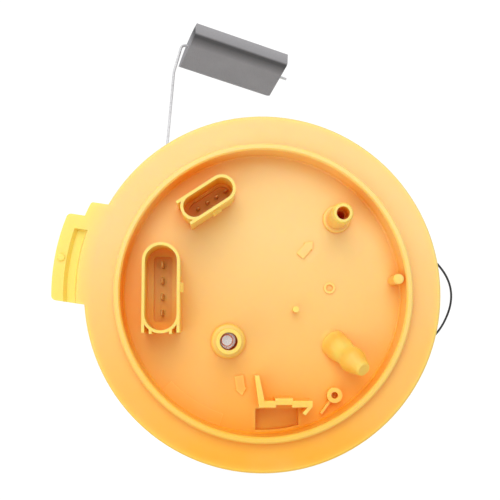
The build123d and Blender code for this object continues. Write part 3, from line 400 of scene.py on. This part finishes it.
def closed_cell_foam(base):
    """Rubber foam with a cut skin: fine pores, rubbed patches, a painted highlight along the ridge and
    painted shade under it.
    """
    finish = Finish("closed_cell_foam", base, 0.78)
    pores = finish.spread(finish.cells(1500.0), 0.05, 0.55)
    patches = finish.noise(75.0, 4.0)
    finish.tint(finish.spread(patches, 0.4, 0.75, 0.0, 0.5), shade(base, 1.2))
    # Painted highlight on the ridge and painted shade just below it, where the lamps' reflection falls off
    # the rounded edge.
    offset = finish.vector_math("SUBTRACT", finish.coordinates, metres(FLOAT_RIDGE))["Vector"]
    distance = finish.vector_math("DOT_PRODUCT", offset, FLOAT_DOWN)["Value"]
    finish.tint(finish.spread(distance, *metres(RIDGE_HIGHLIGHT_BAND), 0.8, 0.0), shade(base, 1.35))
    rise = finish.spread(distance, *metres(SHADE_RISE))
    fall = finish.spread(distance, *metres(SHADE_FALL), 1.0, 0.0)
    shaded = finish.math("MULTIPLY", finish.math("MULTIPLY", rise, fall), 0.9)
    finish.tint(shaded, shade(base, 0.2))
    finish.tint(finish.spread(pores, 0.0, 0.45, 0.55, 0.0), shade(base, 0.45))
    finish.bump(pores, 0.00012, 0.5)
    return finish.material


def bloomed_black(name, base):
    """Rubber or pressed carbon with a pale bloom."""
    finish = Finish(name, base, 0.62)
    bloom = finish.noise(110.0, 4.0)
    finish.tint(finish.spread(bloom, 0.45, 0.8, 0.0, 0.5), shade(base, 1.8))
    finish.roughen(bloom, 0.52, 0.72)
    finish.bump(finish.noise(1400.0, 2.0), 0.00003, 0.35)
    return finish.material


def lead_insulation(name, base):
    """Extruded insulation with a faint clouding and a soft sheen."""
    finish = Finish(name, base, 0.4, Coat_Weight=0.15)
    cloud = finish.noise(300.0, 3.0)
    finish.tint(finish.spread(cloud, 0.45, 0.8, 0.0, 0.45), shade(base, 1.5))
    finish.roughen(cloud, 0.34, 0.5)
    return finish.material


def woven_mesh(base):
    """Fine woven strainer cloth."""
    finish = Finish("woven_mesh", base, 0.7, Sheen_Weight=0.3)
    warp = finish.wave(700.0, bands_direction="X")
    weft = finish.wave(700.0, bands_direction="Y")
    weave = finish.math("MAXIMUM", warp, weft)
    finish.tint(finish.spread(weave, 0.2, 0.9, 0.7, 0.0), shade(base, 0.4))
    finish.bump(weave, 0.0001, 0.6)
    return finish.material


def stacked_sheet(name, base, pitch=900.0):
    """Laminated or pressed stock that shows its layers on the side."""
    finish = Finish(name, base, 0.5, Metallic=0.7)
    layers = finish.wave(pitch, bands_direction="Z")
    finish.tint(finish.spread(layers, 0.5, 1.0, 0.0, 0.6), shade(base, 0.55))
    finish.bump(layers, 0.00004, 0.5)
    return finish.material


def wound_copper(base):
    """Enamelled wire packed turn beside turn."""
    finish = Finish("wound_copper", base, 0.32, Metallic=1.0, Coat_Weight=0.4)
    turns = finish.wave(520.0, {"Distortion": 0.6, "Detail": 1.0}, wave_type="RINGS", rings_direction="Z")
    finish.tint(finish.spread(turns, 0.0, 0.5, 0.7, 0.0), shade(base, 0.35))
    finish.bump(turns, 0.00012, 0.6)
    return finish.material


def pleated_paper(base):
    """Resin-stiffened paper with its fibres along the pleats."""
    finish = Finish("pleated_paper", base, 0.85)
    fibres = finish.noise(900.0, 4.0, (1.0, 1.0, 0.3))
    finish.tint(finish.spread(fibres, 0.4, 0.75, 0.0, 0.5), shade(base, 0.8))
    finish.bump(fibres, 0.00005, 0.5)
    return finish.material


def glazed_ceramic(base):
    """Pale fired card with an uneven glaze."""
    finish = Finish("glazed_ceramic", base, 0.3)
    cloud = finish.noise(140.0, 3.0)
    finish.tint(finish.spread(cloud, 0.5, 0.8, 0.0, 0.4), shade(base, 0.9))
    finish.roughen(cloud, 0.22, 0.42)
    return finish.material


def dress(material, *names):
    """Gives one material to solids that keep their own shape."""
    for name in names:
        mesh = NODES[name].data
        mesh.materials.clear()
        mesh.materials.append(material)


# ---------------------------------------------------------------- geometry nodes
class Tree(Network):
    """A geometry node tree with named inputs."""

    def __init__(self, name, inputs):
        self.group = bpy.data.node_groups.new(name, "GeometryNodeTree")
        super().__init__(self.group)
        face = self.group.interface
        face.new_socket("Geometry", in_out="INPUT", socket_type="NodeSocketGeometry")
        for label, kind, value in inputs:
            socket = face.new_socket(label, in_out="INPUT", socket_type=kind)
            if value is not None:
                socket.default_value = value
        face.new_socket("Geometry", in_out="OUTPUT", socket_type="NodeSocketGeometry")
        self.source = self.node("NodeGroupInput").outputs
        self.result = self.node("NodeGroupOutput").inputs["Geometry"]

    def switch(self, question, no, yes):
        inputs = {"Switch": question, "False": no, "True": yes}
        return self.node("GeometryNodeSwitch", inputs, input_type="FLOAT").outputs[0]

    def eased(self, value, low, high):
        """Rises from 0 to 1 over a span, slowly at both ends."""
        made = self.node("ShaderNodeMapRange", {"Value": value, "From Min": low, "From Max": high},
                         interpolation_type="SMOOTHSTEP")
        return made.outputs["Result"]

    def finish(self, geometry, material):
        """Ends the tree with Realize Instances and Set Material."""
        real = self.node("GeometryNodeRealizeInstances", {"Geometry": geometry})
        smooth = self.node("GeometryNodeSetShadeSmooth", {"Geometry": real.outputs[0]})
        painted = self.node("GeometryNodeSetMaterial", {"Geometry": smooth.outputs[0], "Material": material})
        self.links.new(painted.outputs[0], self.result)


def plain_mesh(carrier):
    """The evaluated shape of an object, as a mesh of its own."""
    bpy.context.view_layer.update()
    depsgraph = bpy.context.evaluated_depsgraph_get()
    return bpy.data.meshes.new_from_object(carrier.evaluated_get(depsgraph), depsgraph=depsgraph)


def placed(name, data):
    """A new object of the scene that holds this data."""
    made = bpy.data.objects.new(name, data)
    bpy.context.scene.collection.objects.link(made)
    return made


def grown(name, source, tree, values):
    """Runs a tree on source data and keeps the result as a plain mesh object."""
    carrier = placed(name + "_carrier", source)
    modifier = carrier.modifiers.new("shape", "NODES")
    modifier.node_group = tree.group
    for item in tree.group.interface.items_tree:
        if item.in_out == "INPUT" and item.name in values:
            modifier[item.identifier] = values[item.name]
    mesh = plain_mesh(carrier)
    carrier.modifiers.remove(modifier)
    bpy.data.objects.remove(carrier)
    if not mesh.polygons:
        raise RuntimeError(f"{name} came out empty")
    mesh.name = name
    return placed(name, mesh)


def nurbs_line(points, radius=None):
    """A smooth curve with a route's points as its control points, round where a radius is given."""
    curve = bpy.data.curves.new("route", "CURVE")
    curve.dimensions = "3D"
    curve.resolution_u = 24
    if radius:
        curve.bevel_depth = radius
        curve.bevel_resolution = 6
        curve.use_fill_caps = True
    spline = curve.splines.new("NURBS")
    spline.points.add(len(points) - 1)
    for point, place in zip(spline.points, points):
        point.co = (*metres(place), 1.0)
    spline.order_u = 3
    spline.use_endpoint_u = True
    return curve


def flatten(piece):
    """Gives the piece a mesh of its own."""
    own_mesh(piece)


# This part of a spring's open height eases into its closed turns, and the rest climbs evenly.
SOFT_SHARE = 0.25


def spring_tree(name, material):
    """A round-wire compression spring: closed end turns, open turns between them."""
    tree = Tree(name, [
        ("Radius", "NodeSocketFloat", 0.0064),
        ("Wire", "NodeSocketFloat", 0.0007),
        ("Height", "NodeSocketFloat", 0.071),
        ("Turns", "NodeSocketFloat", 9.5),
        ("End turns", "NodeSocketFloat", 1.1),
        ("Foot", "NodeSocketVector", None),
    ])
    size = tree.source
    spiral = tree.node("GeometryNodeCurveSpiral", {
        "Resolution": 36, "Rotations": size["Turns"], "Start Radius": size["Radius"],
        "End Radius": size["Radius"], "Height": 0.0})
    along = tree.node("GeometryNodeSplineParameter").outputs["Factor"]

    # The closed turns at each end rise by one wire a turn, and the rest is shared by the open turns.
    share = tree.math("DIVIDE", size["End turns"], size["Turns"])
    tail = tree.math("SUBTRACT", 1.0, share)
    wires = tree.math("MULTIPLY", size["Wire"], 2.0)
    closed = tree.math("MULTIPLY", size["End turns"], wires)
    low = tree.math("DIVIDE", tree.math("MINIMUM", along, share), share)
    high = tree.math("DIVIDE", tree.math("MAXIMUM", tree.math("SUBTRACT", along, tail), 0.0), share)
    rise = tree.math("MULTIPLY", closed, tree.math("ADD", low, high))
    middles = tree.math("SUBTRACT", size["Height"], wires)
    open_height = tree.math("SUBTRACT", middles, tree.math("MULTIPLY", closed, 2.0))
    soft = tree.math("MULTIPLY", tree.eased(along, share, tail), SOFT_SHARE)
    straight = tree.math("MULTIPLY", tree.spread(along, share, tail), 1.0 - SOFT_SHARE)
    height = tree.math("ADD", rise, tree.math("MULTIPLY", open_height, tree.math("ADD", soft, straight)))

    lifted = tree.node("ShaderNodeCombineXYZ", {"Z": tree.math("ADD", height, size["Wire"])})
    place = tree.vector_math("ADD", lifted.outputs[0], size["Foot"])["Vector"]
    line = tree.node("GeometryNodeSetPosition", {"Geometry": spiral.outputs[0], "Offset": place})
    profile = tree.node("GeometryNodeCurvePrimitiveCircle", {"Resolution": 10, "Radius": size["Wire"]})
    wire = tree.node("GeometryNodeCurveToMesh", {
        "Curve": line.outputs[0], "Profile Curve": profile.outputs[0], "Fill Caps": True})
    tree.finish(wire.outputs[0], material)
    return tree


def hose_tree(name, material):
    """A convoluted hose, or the smooth cuff at its far end, as one closed wall round its bore."""
    tree = Tree(name, [
        ("Radius", "NodeSocketFloat", 0.0056),
        ("Bore", "NodeSocketFloat", 0.0044),
        ("Pitch", "NodeSocketFloat", 0.0026),
        ("Depth", "NodeSocketFloat", 0.0007),
        ("Cuff", "NodeSocketFloat", 0.006),
        ("Step", "NodeSocketFloat", 0.00032),
        ("Only cuff", "NodeSocketBool", False),
    ])
    size = tree.source
    route = size["Geometry"]
    whole = tree.node("GeometryNodeCurveLength", {"Curve": route}).outputs["Length"]
    seam = tree.math("SUBTRACT", whole, size["Cuff"])
    first = tree.switch(size["Only cuff"], 0.0, seam)
    last = tree.switch(size["Only cuff"], seam, whole)
    part = tree.node("GeometryNodeTrimCurve", {
        "Curve": route, TRIM_START: first, TRIM_END: last}, mode="LENGTH")
    line = tree.node("GeometryNodeResampleCurve", {
        "Curve": part.outputs[0], "Length": size["Step"]}, mode="LENGTH")
    along = tree.node("GeometryNodeSplineParameter").outputs["Length"]
    total = tree.node("GeometryNodeSplineLength").outputs["Length"]

    # Grooves run between the cuffs and die out toward them.
    below = tree.math("SUBTRACT", tree.math("ADD", total, size["Cuff"]), along)
    to_end = tree.math("MINIMUM", along, below)
    past_cuff = tree.eased(to_end, size["Cuff"], tree.math("ADD", size["Cuff"], size["Pitch"]))
    phase = tree.math("MULTIPLY", tree.math("DIVIDE", along, size["Pitch"]), 2.0 * math.pi)
    wave = tree.math("COSINE", phase)
    groove = tree.math("POWER", tree.math("MULTIPLY", tree.math("ADD", wave, 1.0), 0.5), 1.5)
    depth = tree.math("MULTIPLY", tree.math("MULTIPLY", groove, size["Depth"]), past_cuff)
    wall = tree.math("SUBTRACT", size["Radius"], depth)
    ends = tree.node("GeometryNodeCurveEndpointSelection", {"Start Size": 1, "End Size": 1})
    radius = tree.switch(ends.outputs[0], wall, size["Bore"])

    unit = tree.node("GeometryNodeCurvePrimitiveCircle", {"Resolution": 32, "Radius": 1.0})
    skin = tree.node("GeometryNodeCurveToMesh", {
        "Curve": line.outputs[0], "Profile Curve": unit.outputs[0], "Scale": radius})
    lining = tree.node("GeometryNodeCurveToMesh", {
        "Curve": line.outputs[0], "Profile Curve": unit.outputs[0], "Scale": size["Bore"]})
    inward = tree.node("GeometryNodeFlipFaces", {"Mesh": lining.outputs[0]})
    both = tree.node("GeometryNodeJoinGeometry")
    tree.links.new(inward.outputs[0], both.inputs[0])
    tree.links.new(skin.outputs[0], both.inputs[0])
    merged = tree.node("GeometryNodeMergeByDistance", {"Geometry": both.outputs[0], "Distance": 0.000002})
    tree.finish(merged.outputs[0], material)
    return tree


def pad_tree(name, material):
    """Contact pads set out along an arc about the sender's pivot."""
    tree = Tree(name, [
        ("Count", "NodeSocketInt", 26),
        ("Radius", "NodeSocketFloat", 0.017),
        ("Sweep", "NodeSocketFloat", 1.2),
        ("Start", "NodeSocketFloat", 0.0),
        ("Pad", "NodeSocketVector", None),
        ("Centre", "NodeSocketVector", None),
    ])
    size = tree.source
    arc = tree.node("GeometryNodeCurveArc", {
        "Resolution": size["Count"], "Radius": size["Radius"], "Start Angle": size["Start"],
        "Sweep Angle": size["Sweep"]}, mode="RADIUS")
    points = tree.node("GeometryNodeCurveToPoints", {"Curve": arc.outputs[0]}, mode="EVALUATED")
    pad = tree.node("GeometryNodeMeshCube", {"Size": size["Pad"]})
    pads = tree.node("GeometryNodeInstanceOnPoints", {
        "Points": points.outputs[0], "Instance": pad.outputs[0], "Rotation": points.outputs["Rotation"]})
    upright = tree.node("GeometryNodeTransform", {
        "Geometry": pads.outputs[0], "Translation": size["Centre"],
        "Rotation": (math.radians(90), 0.0, math.radians(90))})
    tree.finish(upright.outputs[0], material)
    return tree


# ---------------------------------------------------------------- steps
class FUELMODULE_OT_cover(bpy.types.Operator):
    """Amber cover with its terminals, plugs and spring-loaded port plunger"""

    bl_idname = "fuelmodule.cover"
    bl_label = "Cover"

    def execute(self, context):
        colours = context.scene.fuel_module_colours
        black = tuple(colours.black)
        brass = drawn_metal("plated_brass", tuple(colours.brass), roughness=0.35, metallic=0.8)
        dress(amber_nylon(tuple(colours.cover)), "flange_cover")
        dress(brass, "power_terminals", "level_terminals")
        dress(moulded_plastic("plug_plastic", black), "power_plug", "level_plug")
        dress(drawn_metal("turned_plunger", tuple(colours.plunger), EVEN, 0.2), "port_plunger")
        dress(moulded_plastic("tag_plastic", shade(black, 0.8), 0.42), "earth_tag_upper", "earth_tag_lower")
        return {"FINISHED"}


class FUELMODULE_OT_springs(bpy.types.Operator):
    """Guide rods, their clips and all compression springs"""

    bl_idname = "fuelmodule.springs"
    bl_label = "Rods and springs"

    def execute(self, context):
        sizes = context.scene.fuel_module_sizes
        steel = tuple(context.scene.fuel_module_colours.steel)
        dress(drawn_metal("drawn_rod", steel, roughness=0.2), "guide_rod_rear", "guide_rod_front")
        dress(drawn_metal("spring_clip", shade(steel, 0.62)), "rod_clips", "regulator_clip")
        tree = spring_tree("compression_spring", drawn_metal("spring_wire", shade(steel, 0.8), EVEN, 0.26))
        for name, (x, y) in RODS.items():
            spring = grown(name + "_wire", bpy.data.meshes.new("seed"), tree, {
                "Radius": sizes.spring_radius,
                "Wire": sizes.spring_wire,
                "Height": (BOSS_BOTTOM - LID_TOP) * MM,
                "Turns": ROD_SPRING_TURNS,
                "Foot": metres((x, y, LID_TOP)),
            })
            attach(spring, "flange")
            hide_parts(name)
            flatten(spring)
        low, high = PORT_SPRING_SEATS
        spring = grown("port_spring_wire", bpy.data.meshes.new("seed"), tree, {
            "Radius": PORT_SPRING_RADIUS * MM,
            "Wire": PORT_SPRING_WIRE * MM,
            "Height": (high - low) * MM,
            "Turns": PORT_SPRING_TURNS,
            "Foot": metres((*PLUNGER_AT, low)),
        })
        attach(spring, "flange")
        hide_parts("port_spring")
        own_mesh(spring)
        return {"FINISHED"}


class FUELMODULE_OT_hoses(bpy.types.Operator):
    """Convoluted feed and return hoses with their band clamps"""

    bl_idname = "fuelmodule.hoses"
    bl_label = "Hoses"

    def execute(self, context):
        sizes = context.scene.fuel_module_sizes
        colours = context.scene.fuel_module_colours
        black = moulded_plastic("hose_plastic", shade(tuple(colours.black), 0.7), 0.38, 900.0)
        tree = hose_tree("convoluted_hose", black)
        shape = {
            "Radius": sizes.hose_radius,
            "Bore": sizes.hose_bore,
            "Pitch": sizes.ridge_pitch,
            "Depth": sizes.ridge_depth,
            "Cuff": sizes.cuff,
        }
        # The wall goes with the flange, and the cuff on the lower barb moves with the reservoir.
        for name, route in (("feed_hose", FEED_ROUTE), ("return_hose", RETURN_ROUTE)):
            hose = grown(name + "_wall", nurbs_line(route), tree, shape)
            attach(hose, "flange")
            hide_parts(name)
            flatten(hose)
            cuff = grown(name + "_cuff", nurbs_line(route), tree, {**shape, "Only cuff": True})
            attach(cuff, "reservoir")
        band = drawn_metal("band_steel", tuple(colours.steel), EVEN, 0.3)
        dress(band, "hose_clamps_upper", "hose_clamps_lower")
        return {"FINISHED"}


def lead_piece(name, routes, radius, materials):
    """Round insulated leads, one after another, as one mesh."""
    joined = bmesh.new()
    for index, route in enumerate(routes):
        carrier = placed("lead_carrier", nurbs_line(route, radius))
        mesh = plain_mesh(carrier)
        bpy.data.objects.remove(carrier)
        before = len(joined.faces)
        joined.from_mesh(mesh)
        joined.faces.ensure_lookup_table()
        for face in joined.faces[before:]:
            face.material_index = index
            face.smooth = True
        bpy.data.meshes.remove(mesh)
    bmesh.ops.remove_doubles(joined, verts=joined.verts, dist=0.000001)
    bmesh.ops.recalc_face_normals(joined, faces=joined.faces)
    mesh = bpy.data.meshes.new(name)
    joined.to_mesh(mesh)
    joined.free()
    for material in materials:
        mesh.materials.append(material)
    return placed(name, mesh)


class FUELMODULE_OT_leads(bpy.types.Operator):
    """Power, level and earth leads"""

    bl_idname = "fuelmodule.leads"
    bl_label = "Leads"

    def execute(self, context):
        sizes = context.scene.fuel_module_sizes
        colours = context.scene.fuel_module_colours
        black = lead_insulation("black_insulation", shade(tuple(colours.black), 0.55))
        red = lead_insulation("red_insulation", tuple(colours.lead))
        yellow = lead_insulation("yellow_insulation", tuple(colours.signal))
        rows = (
            ("power_leads", POWER_ROUTES, sizes.power_lead, [red, black], "lead_red"),
            ("level_leads", LEVEL_ROUTES, sizes.level_lead, [yellow, black], "lead_black"),
            ("earth_lead", [EARTH_ROUTE], sizes.earth_lead, [black], "lead_black"),
        )
        for name, routes, radius, materials, slot in rows:
            piece = lead_piece(name + "_run", routes, radius, materials)
            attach(piece, "flange")
            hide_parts(name)
            flatten(piece)
        return {"FINISHED"}


class FUELMODULE_OT_reservoir(bpy.types.Operator):
    """Reservoir cup, lid, inlet parts and jet pump"""

    bl_idname = "fuelmodule.reservoir"
    bl_label = "Reservoir"

    def execute(self, context):
        colours = context.scene.fuel_module_colours
        black = tuple(colours.black)
        dress(moulded_plastic("milky_acetal", tuple(colours.cup), 0.46, 1500.0, 0.35), "reservoir_cup")
        dress(moulded_plastic("lid_plastic", black, 0.5), "reservoir_lid", "jet_pump")
        dress(bloomed_black("valve_rubber", shade(black, 0.7)), "foot_valve", "pump_sleeve")
        dress(woven_mesh(tuple(colours.cloth)), "inlet_strainer")
        return {"FINISHED"}


class FUELMODULE_OT_pump(bpy.types.Operator):
    """Electric pump and ring filter: can, end parts, rotor, magnets, brushes and pleats"""

    bl_idname = "fuelmodule.pump"
    bl_label = "Pump"

    def execute(self, context):
        colours = context.scene.fuel_module_colours
        black = tuple(colours.black)
        copper = tuple(colours.copper)
        grey_plastic = moulded_plastic("pump_end_plastic", shade(black, 1.9), 0.48)
        dress(zinc_plate(tuple(colours.zinc)), "pump_casing", "pressure_regulator")
        dress(grey_plastic, "pump_inlet_plate", "pump_plate", "pump_end_cap", "filter_housing", "filter_cap")
        dress(moulded_plastic("impeller_plastic", tuple(colours.impeller), 0.42), "impeller")
        dress(drawn_metal("ground_shaft", tuple(colours.steel), roughness=0.16), "rotor_shaft")
        dress(stacked_sheet("laminated_core", tuple(colours.core)), "armature_core")
        dress(wound_copper(copper), "armature_windings")
        dress(drawn_metal("commutator_copper", copper, EVEN, 0.24), "commutator")
        dress(stacked_sheet("sintered_ferrite", tuple(colours.ferrite), 120.0), "pump_magnets")
        dress(bloomed_black("pressed_carbon", tuple(colours.carbon)), "brushes")
        dress(moulded_plastic("pump_plug_plastic", black, 0.44), "pump_plug")
        dress(pleated_paper(tuple(colours.paper)), "filter_pleats")
        return {"FINISHED"}


class FUELMODULE_OT_sender(bpy.types.Operator):
    """Level sender: tray, card with its contact pads, holder and wipers"""

    bl_idname = "fuelmodule.sender"
    bl_label = "Level sender"

    def execute(self, context):
        colours = context.scene.fuel_module_colours
        black = tuple(colours.black)
        dress(moulded_plastic("sender_plastic", black, 0.5), "sender_tray")
        dress(moulded_plastic("holder_plastic", shade(black, 1.3), 0.44), "arm_holder")
        dress(glazed_ceramic(tuple(colours.ceramic)), "resistor_card")
        dress(drawn_metal("wiper_brass", tuple(colours.tin), EVEN, 0.3), "wipers")
        card_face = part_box("resistor_card")[0].x
        tree = pad_tree("contact_pads", drawn_metal("pad_silver", tuple(colours.silver), EVEN, 0.4))
        pads = grown("sender_pads", bpy.data.meshes.new("seed"), tree, {
            "Count": PAD_COUNT,
            "Radius": PAD_RADIUS * MM,
            "Start": math.radians(PAD_START),
            "Sweep": math.radians(PAD_SWEEP),
            "Pad": metres(PAD_SIZE),
            "Centre": (card_face, *metres(SENDER_PIVOT)),
        })
        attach(pads, "reservoir")
        return {"FINISHED"}


class FUELMODULE_OT_float_arm(bpy.types.Operator):
    """Float arm wire and its foam float"""

    bl_idname = "fuelmodule.float_arm"
    bl_label = "Float arm"

    def execute(self, context):
        colours = context.scene.fuel_module_colours
        dress(drawn_metal("arm_steel", tuple(colours.arm), EVEN, 0.3, 0.7), "arm_wire")
        dress(closed_cell_foam(tuple(colours.foam)), "float_block")
        return {"FINISHED"}


# ---------------------------------------------------------------- stage
WHITE = (1.0, 1.0, 1.0, 1.0)
FLOOR_GAP = 0.2
FLOOR_SEEN = 0.86
FLOOR_SHADOW = (0.2, 0.2, 0.2, 1.0)
WORLD_LIGHT = 0.62
WORLD_SEEN = 1.0
LAMPS = (
    ("key", 10.0, (-0.1, 0.75, 1.25), 1.0, (1.0, 0.985, 0.96)),
    ("fill", 5.0, (-0.9, -0.5, 1.0), 1.2, (1.0, 1.0, 1.0)),
)
CAMERA_LENS = 67.97
CAMERA_PLACE = (-17.49, -14.73, 352.26)
CAMERA_TURN = (4.9645, -2.055, 0.0)


def studio_floor(side, colour_of_floor):
    """A pale floor that shows plain white with the object's shadow on it."""
    half = side / 2
    z = (FOOT - FLOOR_GAP) * MM
    corners = [(-half, -half, z), (half, -half, z), (half, half, z), (-half, half, z)]
    mesh = bpy.data.meshes.new("studio_floor")
    mesh.from_pydata(corners, [], [(0, 1, 2, 3)])
    finish = Finish("studio_white", colour_of_floor, 0.9)
    finish.tint(finish.spread(finish.noise(3.0, 2.0), 0.4, 0.7, 0.0, 0.05), (0.78, 0.78, 0.78))
    rays = finish.node("ShaderNodeLightPath").outputs
    seen = finish.math("MAXIMUM", rays["Is Camera Ray"], rays["Is Glossy Ray"])
    seen = finish.math("MAXIMUM", seen, rays["Is Transmission Ray"])
    white = finish.node("ShaderNodeEmission", {"Strength": FLOOR_SEEN})
    veil = finish.node("ShaderNodeBsdfDiffuse", {"Color": FLOOR_SHADOW})
    both = finish.node("ShaderNodeAddShader", {0: white.outputs[0], 1: veil.outputs[0]})
    mix = finish.node("ShaderNodeMixShader", {0: seen, 1: finish.shader.outputs[0], 2: both.outputs[0]})
    finish.links.new(mix.outputs[0], finish.nodes["Material Output"].inputs["Surface"])
    mesh.materials.append(finish.material)
    placed("studio_floor", mesh)


def studio_world():
    """Even light from all round, seen as white."""
    world = bpy.data.worlds.new("studio")
    bpy.context.scene.world = world
    world.use_nodes = True
    sky = Network(world.node_tree)
    light = sky.nodes["Background"]
    light.inputs["Color"].default_value = WHITE
    light.inputs["Strength"].default_value = WORLD_LIGHT
    seen = sky.node("ShaderNodeBackground", {"Color": WHITE, "Strength": WORLD_SEEN})
    camera_ray = sky.node("ShaderNodeLightPath").outputs["Is Camera Ray"]
    mix = sky.node("ShaderNodeMixShader", {0: camera_ray, 1: light.outputs[0], 2: seen.outputs[0]})
    sky.links.new(mix.outputs[0], sky.nodes["World Output"].inputs["Surface"])


def area_lamp(name, power, place, side, tint):
    """A square soft lamp turned to the origin, in watts and metres."""
    data = bpy.data.lights.new(name, "AREA")
    data.shape = "SQUARE"
    data.size = side
    data.energy = power
    data.color = tint
    turn = (-Vector(place)).to_track_quat("-Z", "Y")
    placed(name, data).matrix_world = Matrix.Translation(place) @ turn.to_matrix().to_4x4()


def studio_camera():
    """A camera above the cover, its place in millimetres and its turn in degrees."""
    data = bpy.data.cameras.new("camera")
    data.sensor_width = 36.0
    data.lens = CAMERA_LENS
    data.clip_start = 0.01
    camera = placed("camera", data)
    camera.location = metres(CAMERA_PLACE)
    camera.rotation_euler = [math.radians(angle) for angle in CAMERA_TURN]
    bpy.context.scene.camera = camera


class FUELMODULE_OT_stage(bpy.types.Operator):
    """Studio floor, soft lamps, world and camera"""

    bl_idname = "fuelmodule.stage"
    bl_label = "Stage"

    def execute(self, context):
        studio_floor(context.scene.fuel_module_sizes.floor, tuple(context.scene.fuel_module_colours.floor))
        studio_world()
        for lamp in LAMPS:
            area_lamp(*lamp)
        studio_camera()
        context.scene.view_settings.view_transform = "Standard"
        return {"FINISHED"}


class FUELMODULE_PT_panel(bpy.types.Panel):
    """Steps and settings of the fuel pump module"""

    bl_idname = "FUELMODULE_PT_panel"
    bl_label = "Fuel Pump Module"
    bl_space_type = "VIEW_3D"
    bl_region_type = "UI"
    bl_category = "Fuel Pump Module"

    def draw(self, context):
        for step in STEPS:
            self.layout.operator(step.bl_idname)
        for settings in (context.scene.fuel_module_sizes, context.scene.fuel_module_colours):
            box = self.layout.box()
            for name in settings.__annotations__:
                box.prop(settings, name)


STEPS = (
    FUELMODULE_OT_cover,
    FUELMODULE_OT_springs,
    FUELMODULE_OT_hoses,
    FUELMODULE_OT_leads,
    FUELMODULE_OT_reservoir,
    FUELMODULE_OT_pump,
    FUELMODULE_OT_sender,
    FUELMODULE_OT_float_arm,
    FUELMODULE_OT_stage,
)
CLASSES = (ModuleColours, ModuleSizes, *STEPS, FUELMODULE_PT_panel)


def register():
    for item in CLASSES:
        bpy.utils.register_class(item)
    bpy.types.Scene.fuel_module_colours = bpy.props.PointerProperty(type=ModuleColours)
    bpy.types.Scene.fuel_module_sizes = bpy.props.PointerProperty(type=ModuleSizes)


def unregister():
    del bpy.types.Scene.fuel_module_sizes
    del bpy.types.Scene.fuel_module_colours
    for item in reversed(CLASSES):
        bpy.utils.unregister_class(item)


def main():
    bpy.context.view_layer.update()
    register()
    for step in STEPS:
        group, name = step.bl_idname.split(".")
        getattr(getattr(bpy.ops, group), name)()


if __name__ == "__main__":
    main()
